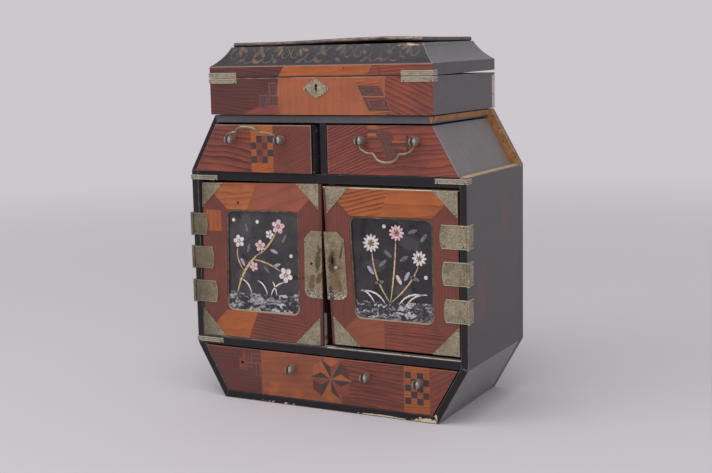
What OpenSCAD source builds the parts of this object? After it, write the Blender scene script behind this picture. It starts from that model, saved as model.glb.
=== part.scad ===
// Table cabinet for jewellery with an eight-sided front: a lift-up box under
// a coved lid, two small drawers, a pair of panelled doors over four inner
// drawers, and one long drawer at the foot.
// Millimetres. X runs to the right, Y to the back, Z up. The origin is the
// centre of the case's base.

/* [Case] */
// Width across the two knees, where the case is widest
case_w = 325; // [300:1:360]
// Width across the bottom board
foot_w = 258; // [240:1:270]
// Depth from the front edges of the boards to the back of the back panel
case_d = 159; // [145:1:190]
// Height of the top board's upper face
case_h = 312; // [300:1:335]
// Height of the lower knee
knee_lo = 59; // [54:0.5:66]
// Height of the upper knee
knee_hi = 252; // [244:0.5:258]
// Thickness of the top, side, foot and bottom boards
board_t = 8; // [6.5:0.5:9]
// Thickness of the slanted board over the left drawer
shoulder_t = 6.5; // [5.5:0.5:7]
// Thickness of the back panel
back_t = 11; // [8:0.5:13]

/* [Shelves] */
// Thickness of the shelf under the two small drawers
upper_shelf_t = 9.6; // [8:0.2:12]
// Depth of the upper shelf's top below the upper knee
upper_shelf_drop = 0.4; // [0:0.1:1]
// Thickness of the shelf under the doors
lower_shelf_t = 10; // [8:0.5:12]
// Worn round along the lower shelf's front edge
shelf_wear = 1.6; // [0.8:0.2:2.4]
// Thickness of the divider between the two small drawers
divider_t = 7; // [5:0.5:9]
// Distance of that divider right of the centre
divider_x = 3; // [0:0.5:8]
// Thickness of the inner side boards beside the inner drawers
liner_t = 8; // [7:0.5:11]
// Thickness of the inner partition and the two inner shelves
inner_t = 6; // [4:0.5:8]

/* [Box and lid] */
// Outer width of the box and of the lid's rim
box_w = 260; // [245:1:270]
// How far the case's top board stands in from the box at each side
crown_in = 1; // [0:0.2:3]
// Height of the box's walls
box_h = 38.2; // [32:0.2:46]
// How far the box stands forward of the case
box_forward = 5.9; // [0:0.1:8]
// How far the box stands out behind the case
box_rear_over = 0.2; // [-2:0.1:4]
// Thickness of the box's walls
box_t = 8; // [6:0.5:10]
// Thickness of the box's floor
box_floor_t = 5; // [4:0.5:7]
// Shadow line between the box's walls and the top board
box_lift = 0.9; // [0.4:0.1:1.4]
// Height of the lid's straight rim
rim_h = 11.8; // [9:0.2:15]
// Height of the coved slope above the rim
cove_h = 20; // [15:0.5:26]
// How far the cove draws in on each side
cove_in = 17.6; // [13:0.2:22]
// Hollow of the cove, from its chord to its deepest point
cove_sag = 1.8; // [1:0.1:3]
// Width of the cove moulding at its top
cove_t = 8; // [6:0.5:10]
// Thickness of the flat top board
lid_top_t = 4.6; // [3.6:0.2:6]
// Round on the top board's upper edge
lid_top_r = 2.4; // [1.2:0.2:3]
// Rise of the lid's rear edge, which no longer shuts down flat
lid_rear_rise = 2.5; // [1:0.1:3.2]
// Rise of the loosened top board's right end
top_lift_right = 1.9; // [0.8:0.1:2.4]
// Rise of the loosened top board's front edge
top_lift_front = 0.5; // [0.2:0.1:1]

/* [Doors] */
// Thickness of a door
door_t = 14; // [11:0.5:15]
// Width of the left door's hinge stile
left_hinge_stile_w = 31; // [27:0.5:34]
// Width of the right door's hinge stile
right_hinge_stile_w = 27.4; // [25:0.2:32]
// Width of the stile at a door's free edge
free_stile_w = 28; // [25:0.5:32]
// Width of a door's rails
rail_w = 29.3; // [26:0.1:33]
// Depth of the lacquer panel's face behind the door's front
panel_recess = 2.2; // [1:0.2:3.4]
// Radius of the panel opening's corners
panel_r = 8.5; // [5:0.5:11]
// Width of the thin moulding round the panel
moulding_w = 1.8; // [1.2:0.2:2.6]
// Left door: gap to the case side at the top
left_side_gap_top = 5.6; // [1:0.2:6]
// Left door: gap to the case side at the bottom
left_side_gap_low = 0.8; // [0.6:0.2:3]
// Left door: free edge left of the centre at the top
left_free_gap_top = 0.6; // [0.4:0.2:3]
// Left door: free edge left of the centre at the bottom
left_free_gap_low = 2.4; // [1:0.1:5]
// Left door: drop of the top edge at the hinge side
left_top_gap_hinge = 3.3; // [0.6:0.1:4]
// Left door: drop of the top edge at the free side
left_top_gap_free = 0.5; // [0.4:0.1:2]
// Right door: gap to the case side at the top
right_side_gap_top = 2.1; // [1:0.1:4]
// Right door: gap to the case side at the bottom
right_side_gap_low = 0.8; // [0.6:0.2:3]
// Right door: free edge right of the centre at the top
right_free_gap_top = 1.5; // [1.2:0.1:3]
// Right door: free edge right of the centre at the bottom
right_free_gap_low = 9.2; // [4:0.1:12]
// Right door: drop of the top edge
right_top_gap = 3.3; // [1:0.1:5]
// Gap under the left door
left_low_gap = 0.6; // [0.4:0.1:1.5]
// Gap under the right door
right_low_gap = 3.8; // [1:0.1:5]

/* [Door fittings] */
// Thickness of the sheet-metal fittings
plate_t = 0.8; // [0.6:0.1:1]
// Width of the edging along a door's free edge, which the corner plates leave bare
door_lip = 3; // [1:0.2:5]
// Leg of the corner plates at the top of a door
plate_leg_top = 27.5; // [22:0.5:29]
// Leg of the corner plates at the foot of a door
plate_leg_low = 30; // [24:0.5:32]
// Height of a door hinge's leaves
leaf_h = 24; // [18:0.5:28]
// Length of the hinge leaf on the case side
side_leaf_l = 14.5; // [10:0.5:20]
// Reach of the left door's upper, middle and lower leaf from the case side
left_leaf_reach = [19.2, 26, 29.2]; // [18:0.2:30]
// Reach of the right door's upper, middle and lower leaf from the case side
right_leaf_reach = [29.8, 27.6, 25.8]; // [18:0.2:30]
// Rise of the upper, middle and lower hinge above the lower shelf's top
hinge_rise = [124, 87.2, 49.4]; // [30:0.2:140]
// Rounding of a leaf's free end
leaf_bow = 2.2; // [1:0.2:3.4]
// Outer radius of a door hinge's barrel
barrel_r = 1.6; // [1.5:0.1:1.9]
// Radius of a door hinge's pin
hinge_pin_r = 0.8; // [0.6:0.1:1]
// Width of the left and the right half of the lock plate
lock_plate_w = [21, 23.5]; // [18:0.5:26]
// How far the right half hangs over the gap between the doors
lock_plate_over = 2.2; // [0:0.1:2.4]
// Height of the lock plate
lock_plate_h = 71.5; // [60:0.5:80]
// Height of the lock plate's centre above the lower shelf's top
lock_plate_rise = 87; // [78:0.5:92]
// Rounding of the lock plate's lower corners, and cut of its upper ones
lock_plate_r = 8.5; // [6:0.5:10]
// Thickness of the two locks' cases, in the box and behind the right door
lock_case_t = 5; // [4:0.5:7]
// How far the lock's case stays back from the door's edge
lock_case_set = 2; // [1:0.5:4]
// Radius of the knob on the right door
knob_r = 2.6; // [2:0.1:3.2]

/* [Drawers] */
// Thickness of a drawer's front
front_t = 10; // [8:0.5:12]
// Thickness of a drawer's sides and back
wall_t = 5.5; // [4:0.5:7]
// Thickness of a drawer's bottom
tray_floor_t = 4; // [3:0.5:5]
// Depth of front wood outside the rabbets that take the sides
front_lap = 4.5; // [3:0.5:6]
// Gap between a drawer and the shelf under it
drawer_low_gap = 0.4; // [0.3:0.1:0.6]
// Gap over a small drawer's front
drawer_top_gap = 1.8; // [1:0.1:3]
// Gap between a drawer and a slanted board, square to the board
drawer_slant_gap = 1.4; // [0.8:0.1:2]
// Gap between a small drawer and the divider
drawer_divider_gap = 1.2; // [0.6:0.1:3]
// Extra gap between the left small drawer and the divider
left_drawer_slack = 6; // [1:0.2:8]
// How far the left small drawer stands out of the case
left_drawer_out = 6; // [0:0.5:8]
// Gap between a drawer's back and the back panel
drawer_back_gap = 3; // [1:0.5:5]
// Gap over the long drawer's front
long_drawer_top_gap = 1.6; // [0.8:0.1:3]
// Gap beside and over an inner drawer
inner_gap = 0.6; // [0.4:0.1:1]
// Space between the lock's case and the inner drawers
inner_front_gap = 2; // [1:0.5:4]
// Radius of an inner drawer's knob
inner_knob_r = 4; // [3:0.5:6]
// Length of an inner drawer's knob
inner_knob_l = 10; // [8:0.5:12]
// Free space between an inner knob and the closed door
inner_knob_room = 3; // [2:0.5:5]

/* [Pulls] */
// Distance between the two bosses of a bail
bail_span = 60.5; // [54:0.5:66]
// Radius of a fluted boss
boss_r = 6; // [5:0.1:6.8]
// Stand-off of a boss's centre from the drawer's front
boss_out = 6.4; // [5.8:0.1:7.5]
// Radius of the bail's cross pin
bail_pin_r = 1; // [0.8:0.1:1.2]
// Radius of the bail's wire at its ends
wire_r = 1.05; // [0.9:0.05:1.2]
// Radius of the bail's thicker belly
belly_r = 1.7; // [1.3:0.1:2]
// Angle by which the left bail stands up from hanging
left_bail_angle = 132; // [100:1:140]
// Left bail: centre's distance left of the cabinet's centre line
left_bail_x = 73.4; // [66:0.2:80]
// Right bail: centre's distance right of the cabinet's centre line
right_bail_x = 78.3; // [70:0.2:86]
// Depth of the bail bosses' centres below the top board
bail_drop = 17; // [12:0.5:24]
// Places of the four pulls' posts along the long drawer
long_post_x = [-105, -41, 48.5, 108.5]; // [-110:0.5:112]
// Height of the long drawer's bosses above its lower edge
long_boss_rise = 33; // [25:0.5:36]

/* [Small fittings] */
// Length of the front leg of a corner strap
strap_l = 34; // [28:0.5:40]
// Length of a corner strap's leg on the side
strap_side_l = 10; // [7:0.5:14]
// Height of a corner strap
strap_h = 5; // [4:0.2:6]
// How far the case's lower straps sit above the lower knee
strap_rise = 2.4; // [1:0.2:4]
// How far the case's upper straps start below the upper knee
strap_drop = 10; // [8:0.5:12]
// Width of the keyhole plate on the box
keyplate_w = 30.5; // [26:0.5:34]
// Height of the keyhole plate on the box
keyplate_h = 19; // [16:0.5:22]
// Width of a lid hinge's leaf
lid_leaf_w = 22; // [16:0.5:26]
// Length of the lid hinge's leaf on the box
lid_leaf_l = 32; // [24:0.5:34]
// Thickness of the lid hinges' leaves
lid_leaf_t = 0.6; // [0.4:0.1:0.7]
// Distance of a lid hinge from the box's end
lid_hinge_in = 40; // [20:1:60]

/* [Hidden] */
$fn = 48;
pin_gap = 0.05;
turn_gap = 0.35;
joint_gap = 0.25;
glue_line = 0.02;
cut_clear = 1;
front_y = -case_d/2;
panel_y = case_d/2 - back_t;
half_w = case_w/2;

// Points where two edges of an outline meet once each is moved inwards.
// a and b are the inward normals, s and t the distances.
function inner_corner(a, s, b, t) =
    let (k = a[0]*b[1] - a[1]*b[0])
    [(s*b[1] - t*a[1])/k, (a[0]*t - b[0]*s)/k];
function unit(v) = v/norm(v);
function inward(p, q) = let (d = unit(q - p)) [d[1], -d[0]];
function flip_x(points) = [for (i = [len(points) - 1:-1:0]) [-points[i][0], points[i][1]]];
// X of the line through p and q at height z
function at_z(p, q, z) = p[0] + (q[0] - p[0])*(z - p[1])/(q[1] - p[1]);
// A quadrilateral's corners drawn in by d[i] from the edge that starts at corner i
function inset_quad(p, d) = [for (i = [0:3])
    let (before = inward(p[(i + 3) % 4], p[i]), after = inward(p[i], p[(i + 1) % 4]))
    p[i] + inner_corner(before, d[(i + 3) % 4], after, d[i])];

// The case's left outline from the base up, and its inner corners
outer_base = [-foot_w/2, 0];
outer_lo = [-half_w, knee_lo];
outer_hi = [-half_w, knee_hi];
outer_top = [crown_in - box_w/2, case_h];
foot_in = inward(outer_base, outer_lo);
shoulder_in = inward(outer_hi, outer_top);
inner_base = outer_base + inner_corner([0, 1], board_t, foot_in, board_t);
inner_lo = outer_lo + inner_corner(foot_in, board_t, [1, 0], board_t);
inner_hi = outer_hi + inner_corner([1, 0], board_t, shoulder_in, shoulder_t);
inner_top = outer_top + inner_corner(shoulder_in, shoulder_t, [0, -1], board_t);
cavity = concat([inner_base, inner_lo, inner_hi, inner_top],
    flip_x([inner_base, inner_lo, inner_hi, inner_top]));
inner_x = half_w - board_t;

upper_shelf_top = knee_hi - upper_shelf_drop;
door_space_top = upper_shelf_top - upper_shelf_t;
door_space_low = knee_lo + lower_shelf_t;

// Extrudes an outline drawn in X and Z from y0 back to y1
module board(points, y0, y1) {
    translate([0, y1, 0])
        rotate([90, 0, 0])
            linear_extrude(y1 - y0)
                polygon(points);
}

// A box between two corners
module block(low, high) {
    translate(low)
        cube(high - low);
}

module in_front_view(y0, y1) {
    translate([0, y1, 0])
        rotate([90, 0, 0])
            linear_extrude(y1 - y0)
                children();
}

// Case boards, mitred to each other
module case_bottom_board() {
    color("#2c2826")
        board([outer_base, inner_base, flip_x([inner_base])[0], flip_x([outer_base])[0]], front_y, panel_y);
}

module case_top_board() {
    color("#2c2826")
        board([outer_top, inner_top, flip_x([inner_top])[0], flip_x([outer_top])[0]], front_y, panel_y);
}

module case_foot_boards() {
    foot = [outer_base, outer_lo, inner_lo, inner_base];
    color("#2c2826") {
        board(foot, front_y, panel_y);
        board(flip_x(foot), front_y, panel_y);
    }
}

module case_side_boards() {
    side = [outer_lo, outer_hi, inner_hi, inner_lo];
    color("#3a3634") {
        board(side, front_y, panel_y);
        board(flip_x(side), front_y, panel_y);
    }
}

// Only the left shoulder board is left on this cabinet
module case_left_shoulder_board() {
    color("#2c2826")
        board([outer_hi, outer_top, inner_top, inner_hi], front_y, panel_y);
}

module case_back_panel() {
    half = [outer_base, outer_lo, outer_hi, outer_top];
    color("#5a4330")
        board(concat(half, flip_x(half)), panel_y, case_d/2);
}

module upper_shelf() {
    color("#2c2826")
        intersection() {
            block([-half_w, front_y, door_space_top], [half_w, panel_y, upper_shelf_top]);
            board(cavity, front_y, panel_y);
        }
}

module lower_shelf() {
    color("#2c2826")
        intersection() {
            board([[-half_w, knee_lo], [-half_w, door_space_low], [half_w, door_space_low], [half_w, knee_lo]],
                front_y, panel_y);
            board(cavity, front_y, panel_y);
            // worn front edge
            rotate([90, 0, 90])
                linear_extrude(case_w, center=true)
                    polygon([[front_y, knee_lo], [panel_y, knee_lo], [panel_y, door_space_low],
                        [front_y + shelf_wear, door_space_low], [front_y, door_space_low - shelf_wear]]);
        }
}

module upper_divider() {
    color("#241f1d")
        block([divider_x - divider_t/2, front_y, upper_shelf_top],
            [divider_x + divider_t/2, panel_y, case_h - board_t]);
}

// Inner drawer case behind the doors: two sides, a partition and two shelves
inner_front_y = front_y + door_t + lock_case_t + inner_front_gap;
inner_mid_z = (door_space_low + door_space_top)/2;
inner_side_x = inner_x - liner_t;

module inner_drawer_case() {
    color("#6d4a2f") {
        for (side = [-1, 1]) {
            block([min(side*inner_x, side*inner_side_x), inner_front_y, door_space_low],
                [max(side*inner_x, side*inner_side_x), panel_y, door_space_top]);
            block([min(side*inner_t/2, side*inner_side_x), inner_front_y, inner_mid_z - inner_t/2],
                [max(side*inner_t/2, side*inner_side_x), panel_y, inner_mid_z + inner_t/2]);
        }
        block([-inner_t/2, inner_front_y, door_space_low], [inner_t/2, panel_y, door_space_top]);
    }
}

// Box under the lid
box_y0 = front_y - box_forward;
box_y1 = case_d/2 + box_rear_over;
box_d = box_y1 - box_y0;
box_z0 = case_h + box_lift;
box_top = box_z0 + box_h;

// Board along one side of a rectangle w by d, mitred at both ends.
// turn counts quarter turns from the front.
module mitred(w, d, t, z0, z1, turn) {
    half = (turn % 2 == 0 ? w : d)/2 - glue_line;
    across = turn % 2 == 0 ? d : w;
    rotate([0, 0, 90*turn])
        translate([0, -across/2, z0])
            linear_extrude(z1 - z0)
                polygon([[-half, 0], [half, 0], [half - t, t], [-half + t, t]]);
}

module on_box() {
    translate([0, (box_y0 + box_y1)/2, 0])
        children();
}

module box_front_board() {
    color("#6e3b26")
        difference() {
            on_box()
                mitred(box_w, box_d, box_t, box_z0, box_top, 0);
            key_shaft();
        }
}

// Mitred to the front board and butted against the rear one
module box_side_boards() {
    outer_x = box_w/2;
    inner_box_x = outer_x - box_t;
    mitre_y = box_y0 + glue_line;
    butt_y = box_y1 - box_t - glue_line;
    side = [[outer_x, mitre_y], [outer_x, butt_y], [inner_box_x, butt_y], [inner_box_x, mitre_y + box_t]];
    color("#3d3a38")
        translate([0, 0, box_z0])
            linear_extrude(box_h) {
                polygon(side);
                polygon(flip_x(side));
            }
}

// Laps over the side boards' ends, so that its own end grain shows
module box_rear_board() {
    color("#3d3a38")
        block([-box_w/2, box_y1 - box_t, box_z0], [box_w/2, box_y1, box_top]);
}

module box_floor_board() {
    color("#70503a")
        block([-box_w/2 + box_t, box_y0 + box_t, case_h], [box_w/2 - box_t, box_y1 - box_t, case_h + box_floor_t]);
}

// Box lock: a keyhole plate outside and a lock case inside the front board
keyhole_share = 0.7;
keyhole_z = box_z0 + box_h*keyhole_share;
key_r = 1.5;
lock_case_w = 34;
lock_case_h = 20;
lock_case_z1 = box_top - 0.6;
staple_w = 10;
staple_t = 1.6;
staple_l = 6;
staple_gap = 0.9;
staple_y = box_y0 + box_t + lock_case_t/2;

module key_shaft() {
    translate([0, box_y0 + box_t/2, keyhole_z])
        rotate([90, 0, 0])
            cylinder(h=box_t*2, r=key_r, center=true);
}

module keyhole(r) {
    circle(r);
    translate([0, -r*1.5])
        square([r, r*3], center=true);
}

module box_keyhole_plate() {
    edge_beads = 5;
    edge_bead_r = 1.3;
    color("#a7a28c")
        translate([0, 0, keyhole_z])
            in_front_view(box_y0 - plate_t, box_y0)
                difference() {
                    union() {
                        polygon([[-keyplate_w/2, 0], [0, keyplate_h/2], [keyplate_w/2, 0], [0, -keyplate_h/2]]);
                        for (sx = [-1, 1], sz = [-1, 1], i = [0:edge_beads - 1])
                            let (k = (i + 0.5)/edge_beads)
                                translate([sx*keyplate_w/2*(1 - k), sz*keyplate_h/2*k])
                                    circle(edge_bead_r);
                    }
                    keyhole(key_r);
                }
}

module box_lock_case() {
    color("#8f8a78")
        difference() {
            block([-lock_case_w/2, box_y0 + box_t, lock_case_z1 - lock_case_h],
                [lock_case_w/2, box_y0 + box_t + lock_case_t, lock_case_z1]);
            block([-staple_w/2 - staple_gap, staple_y - staple_t/2 - staple_gap, lock_case_z1 - staple_l - staple_gap],
                [staple_w/2 + staple_gap, staple_y + staple_t/2 + staple_gap, box_top]);
        }
}

// Lid, drawn level and then tipped up at the rear by the amount it has warped
lid_z0 = box_top + joint_gap;
lid_tip = asin(lid_rear_rise/box_d);

module tipped() {
    translate([0, box_y0, lid_z0])
        rotate([lid_tip, 0, 0])
            translate([0, box_d/2, 0])
                children();
}

module lid_rim_boards() {
    color("#6e3b26")
        tipped()
            for (turn = [0:3])
                mitred(box_w, box_d, box_t, 0, rim_h, turn);
}

// The cove's section: s runs inwards from the rim's face, z up from the rim's top
module cove_section() {
    chord = norm([cove_in, cove_h]);
    arc_r = (pow(chord/2, 2) + pow(cove_sag, 2))/(2*cove_sag);
    normal = [-cove_h, cove_in]/chord;
    centre = [cove_in, cove_h]/2 + normal*(arc_r - cove_sag);
    difference() {
        polygon([[0, 0], [cove_in, cove_h], [cove_in + cove_t, cove_h], [box_t, 0]]);
        translate(centre)
            circle(arc_r, $fn=180);
    }
}

module cove_run(turn) {
    half = (turn % 2 == 0 ? box_w : box_d)/2 - glue_line;
    across = turn % 2 == 0 ? box_d : box_w;
    depth = cove_in + cove_t;
    rotate([0, 0, 90*turn])
        translate([0, -across/2, rim_h])
            intersection() {
                rotate([90, 0, 90])
                    linear_extrude(2*half, center=true)
                        cove_section();
                linear_extrude(cove_h)
                    polygon([[-half, 0], [half, 0], [half - depth, depth], [-half + depth, depth]]);
            }
}

module lid_cove_mouldings() {
    color("#262423")
        tipped()
            for (turn = [0:3])
                cove_run(turn);
}

lid_top_ledge = 0.8;
lid_top_inset = cove_in + lid_top_ledge;
lid_top_w = box_w - 2*lid_top_inset;
lid_top_d = box_d - 2*lid_top_inset;

module edge_rounded(w) {
    translate([-w/2, 0])
        square([w, lid_top_t - lid_top_r]);
    translate([-w/2 + lid_top_r, 0])
        square([w - 2*lid_top_r, lid_top_t]);
    for (side = [-1, 1])
        translate([side*(w/2 - lid_top_r), lid_top_t - lid_top_r])
            circle(lid_top_r);
}

module lid_top_board() {
    color("#37322d")
        tipped()
            translate([-lid_top_w/2, lid_top_d/2, rim_h + cove_h + pin_gap])
                rotate([-asin(top_lift_front/lid_top_d), -asin(top_lift_right/lid_top_w), 0])
                    translate([lid_top_w/2, -lid_top_d/2, 0])
                        intersection() {
                            rotate([90, 0, 0])
                                linear_extrude(lid_top_d, center=true)
                                    edge_rounded(lid_top_w);
                            rotate([90, 0, 90])
                                linear_extrude(lid_top_w, center=true)
                                    edge_rounded(lid_top_d);
                        }
}

module lid_lock_staple() {
    inside_y = -box_d/2 + box_t;
    tongue_y = inside_y + (lock_case_t - staple_t)/2;
    eye_r = staple_l/4;
    color("#8f8a78")
        difference() {
            tipped()
                block([-staple_w/2, inside_y, -staple_l], [staple_w/2, tongue_y + staple_t, rim_h/2]);
            // leaves a plate on the rim's inner face and a tongue that drops into the lock
            tipped() {
                block([-staple_w, inside_y - cut_clear, -staple_l - cut_clear], [staple_w, tongue_y, 0]);
                block([-staple_w, inside_y + staple_t, staple_t], [staple_w, inside_y + lock_case_t, rim_h]);
                translate([0, inside_y, -staple_l/2])
                    rotate([90, 0, 0])
                        cylinder(h=lock_case_t*3, r=eye_r, center=true);
            }
        }
}

// Corner strap: a strip bent round a vertical corner. side is -1 left, 1 right.
module corner_strap(side, corner_x, corner_y, z) {
    x0 = side*corner_x;
    block([min(x0 - side*strap_l, x0 + side*plate_t), corner_y - plate_t, z],
        [max(x0 - side*strap_l, x0 + side*plate_t), corner_y, z + strap_h]);
    block([min(x0, x0 + side*plate_t), corner_y - plate_t, z],
        [max(x0, x0 + side*plate_t), corner_y + strap_side_l, z + strap_h]);
}

case_strap_lo = knee_lo + strap_rise;
case_strap_hi = knee_hi - strap_drop;
case_strap_slip = 3.5;
strap_seam_gap = 0.4;

// Straps on the case and on the box. The case's lower right one has been lost.
module corner_straps() {
    color("#8f8b77") {
        corner_strap(-1, half_w, front_y, case_strap_hi);
        corner_strap(-1, half_w, front_y, case_strap_lo);
        corner_strap(1, half_w, front_y, case_strap_hi + case_strap_slip);
        for (side = [-1, 1])
            corner_strap(side, box_w/2, box_y0, box_top - strap_seam_gap - strap_h);
    }
}

module lid_corner_straps() {
    color("#a19d88")
        tipped()
            for (side = [-1, 1])
                corner_strap(side, box_w/2, -box_d/2, strap_seam_gap);
}

// Hinges. A barrel is drawn along Z on its own axis and cut in three knuckles:
// part 0 and part 2 are the outer ones, part 1 is the middle one.
function knuckle_low(length, part) = part == 0 ? -length/2 : (part == 1 ? -length/6 : length/6) + turn_gap/2;
function knuckle_high(length, part) = part == 2 ? length/2 : (part == 1 ? length/6 : -length/6) - turn_gap/2;

module knuckle(length, part) {
    translate([0, 0, knuckle_low(length, part)])
        cylinder(h=knuckle_high(length, part) - knuckle_low(length, part), r=barrel_r);
}

module pin_bore(length) {
    cylinder(h=length + 2*cut_clear, r=hinge_pin_r + pin_gap, center=true);
}

module headed_pin(length) {
    head_t = 0.7;
    head_r = barrel_r*0.9;
    cylinder(h=length, r=hinge_pin_r, center=true);
    for (end = [-1, 1])
        translate([0, 0, end*(length + head_t)/2])
            cylinder(h=head_t, r=head_r, center=true);
}

// Door hinges. Each is drawn for the left door, with its axis at the origin:
// the wood's corner lies inwards and back by barrel_off.
barrel_off = barrel_r*sqrt(0.5) + glue_line;
leaf_start = barrel_r + turn_gap;
leaf_sink = 1;

module at_left_hinge(i) {
    translate([-half_w - barrel_off, front_y - barrel_off, door_space_low + hinge_rise[i]])
        children();
}

module case_leaf() {
    difference() {
        union() {
            for (part = [0, 2]) {
                knuckle(leaf_h, part);
                block([barrel_off - plate_t, 0, knuckle_low(leaf_h, part)],
                    [barrel_off, leaf_start + leaf_sink, knuckle_high(leaf_h, part)]);
            }
            block([barrel_off - plate_t, leaf_start, -leaf_h/2], [barrel_off, side_leaf_l, leaf_h/2]);
        }
        pin_bore(leaf_h);
    }
}

module door_leaf(reach) {
    bow_r = (pow(leaf_h/2, 2) + pow(leaf_bow, 2))/(2*leaf_bow);
    tip = barrel_off + reach;
    difference() {
        union() {
            knuckle(leaf_h, 1);
            block([0, barrel_off - plate_t, knuckle_low(leaf_h, 1)],
                [leaf_start + leaf_sink, barrel_off, knuckle_high(leaf_h, 1)]);
            in_front_view(barrel_off - plate_t, barrel_off)
                intersection() {
                    translate([leaf_start, -leaf_h/2])
                        square([tip - leaf_start, leaf_h]);
                    translate([tip - bow_r, 0])
                        circle(bow_r, $fn=180);
                }
        }
        pin_bore(leaf_h);
    }
}

module on_right() {
    mirror([1, 0, 0])
        children();
}

module door_hinge_case_leaves() {
    color("#8f8b77")
        for (i = [0:2]) {
            at_left_hinge(i)
                case_leaf();
            on_right()
                at_left_hinge(i)
                    case_leaf();
        }
}

module door_hinge_pins() {
    color("#7c7867")
        for (i = [0:2]) {
            at_left_hinge(i)
                headed_pin(leaf_h);
            on_right()
                at_left_hinge(i)
                    headed_pin(leaf_h);
        }
}

module left_door_hinge_leaves() {
    color("#8f8b77")
        for (i = [0:2])
            at_left_hinge(i)
                door_leaf(left_leaf_reach[i]);
}

module right_door_hinge_leaves() {
    color("#8f8b77")
        on_right()
            for (i = [0:2])
                at_left_hinge(i)
                    door_leaf(right_leaf_reach[i]);
}

// Lid hinges at the back of the box. The axis runs along X.
lid_axis_y = box_y1 + barrel_r + 2*pin_gap;
lid_axis_z = box_top + (joint_gap + lid_rear_rise)/2;
lid_hinge_x = box_w/2 - lid_leaf_w/2 - lid_hinge_in;
lid_leaf_up = 9;
lid_leaf_in = 0.3;

module at_lid_hinge(side) {
    translate([side*lid_hinge_x, lid_axis_y, lid_axis_z])
        children();
}

module along_x() {
    rotate([0, 90, 0])
        children();
}

module lid_hinge_box_leaves() {
    face = barrel_r + pin_gap;
    leaf_half = lid_leaf_w/2 - lid_leaf_in;
    color("#b8b4a2")
        for (side = [-1, 1])
            at_lid_hinge(side)
                difference() {
                    union() {
                        for (part = [0, 2])
                            along_x()
                                knuckle(lid_leaf_w, part);
                        block([-leaf_half, -face, -lid_leaf_l], [leaf_half, lid_leaf_t - face, -leaf_start]);
                        for (part = [0, 2])
                            block([knuckle_low(lid_leaf_w, part) + lid_leaf_in, -face, -leaf_start - leaf_sink],
                                [knuckle_high(lid_leaf_w, part) - lid_leaf_in, lid_leaf_t - face, 0]);
                    }
                    along_x()
                        pin_bore(lid_leaf_w);
                }
}

module lid_hinge_lid_leaves() {
    face = barrel_r + pin_gap;
    leaf_half = lid_leaf_w/2 - lid_leaf_in;
    color("#b8b4a2")
        for (side = [-1, 1])
            at_lid_hinge(side)
                difference() {
                    union() {
                        along_x()
                            knuckle(lid_leaf_w, 1);
                        rotate([lid_tip, 0, 0]) {
                            block([-leaf_half, -face, leaf_start], [leaf_half, lid_leaf_t - face, lid_leaf_up]);
                            block([knuckle_low(lid_leaf_w, 1) + lid_leaf_in, -face, 0],
                                [knuckle_high(lid_leaf_w, 1) - lid_leaf_in, lid_leaf_t - face, leaf_start + leaf_sink]);
                        }
                    }
                    along_x()
                        pin_bore(lid_leaf_w);
                }
}

module lid_hinge_pins() {
    color("#7c7867")
        for (side = [-1, 1])
            at_lid_hinge(side)
                along_x()
                    headed_pin(lid_leaf_w);
}

// Doors. Corners run from the lower left one up and round, as the photograph
// shows them: neither door is square any more.
left_door = [
    [-inner_x + left_side_gap_low, door_space_low + left_low_gap],
    [-inner_x + left_side_gap_top, door_space_top - left_top_gap_hinge],
    [-left_free_gap_top, door_space_top - left_top_gap_free],
    [-left_free_gap_low, door_space_low + left_low_gap]];
right_door = [
    [right_free_gap_low, door_space_low + right_low_gap],
    [right_free_gap_top, door_space_top - right_top_gap],
    [inner_x - right_side_gap_top, door_space_top - right_top_gap],
    [inner_x - right_side_gap_low, door_space_low + right_low_gap]];
left_opening = inset_quad(left_door, [left_hinge_stile_w, rail_w, free_stile_w, rail_w]);
right_opening = inset_quad(right_door, [free_stile_w, rail_w, right_hinge_stile_w, rail_w]);

// A quadrilateral with its corners rounded in short steps
corner_steps = 8;
function heading(v) = atan2(v[1], v[0]);
module rounded_quad(q, r) {
    centres = inset_quad(q, [r, r, r, r]);
    polygon([for (i = [0:3], k = [0:corner_steps])
        let (from = heading(-inward(q[(i + 3) % 4], q[i])),
            to = heading(-inward(q[i], q[(i + 1) % 4])),
            turn = (to - from + 540) % 360 - 180,
            a = from + turn*k/corner_steps)
        centres[i] + r*[cos(a), sin(a)]]);
}

// Stile or rail i of a door, mitred along the lines through its corners
module frame_member(door, opening, i) {
    j = (i + 1) % 4;
    outline = [door[i], door[j], opening[j] + panel_r*unit(opening[j] - door[j]),
        opening[i] + panel_r*unit(opening[i] - door[i])];
    in_front_view(front_y, front_y + door_t)
        difference() {
            polygon(inset_quad(outline, [0, glue_line/2, 0, glue_line/2]));
            rounded_quad(opening, panel_r);
        }
}

mortise_h = 12;
mortise_w = 4;
mortise_d = 8;
lock_z = door_space_low + lock_plate_rise;

module left_door_frame() {
    color("#7a3f27")
        difference() {
            for (i = [0:3])
                frame_member(left_door, left_opening, i);
            // mortise in the free edge for the lock's bolt
            block([-left_free_gap_low - mortise_d, front_y + (door_t - mortise_w)/2, lock_z - mortise_h/2],
                [0, front_y + (door_t + mortise_w)/2, lock_z + mortise_h/2]);
        }
}

module right_door_frame() {
    color("#7a3f27")
        for (i = [0:3])
            frame_member(right_door, right_opening, i);
}

module lacquer_panel(opening) {
    color("#26262a")
        in_front_view(front_y + panel_recess, front_y + door_t)
            rounded_quad(opening, panel_r);
}

module left_door_lacquer_panel() {
    lacquer_panel(left_opening);
}

module right_door_lacquer_panel() {
    lacquer_panel(right_opening);
}

moulding_set = 0.3;

module panel_moulding(opening) {
    bead = [for (i = [0:3]) moulding_w];
    color("#8d7a5c")
        in_front_view(front_y + moulding_set, front_y + panel_recess)
            difference() {
                rounded_quad(opening, panel_r);
                rounded_quad(inset_quad(opening, bead), panel_r - moulding_w);
            }
}

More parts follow.
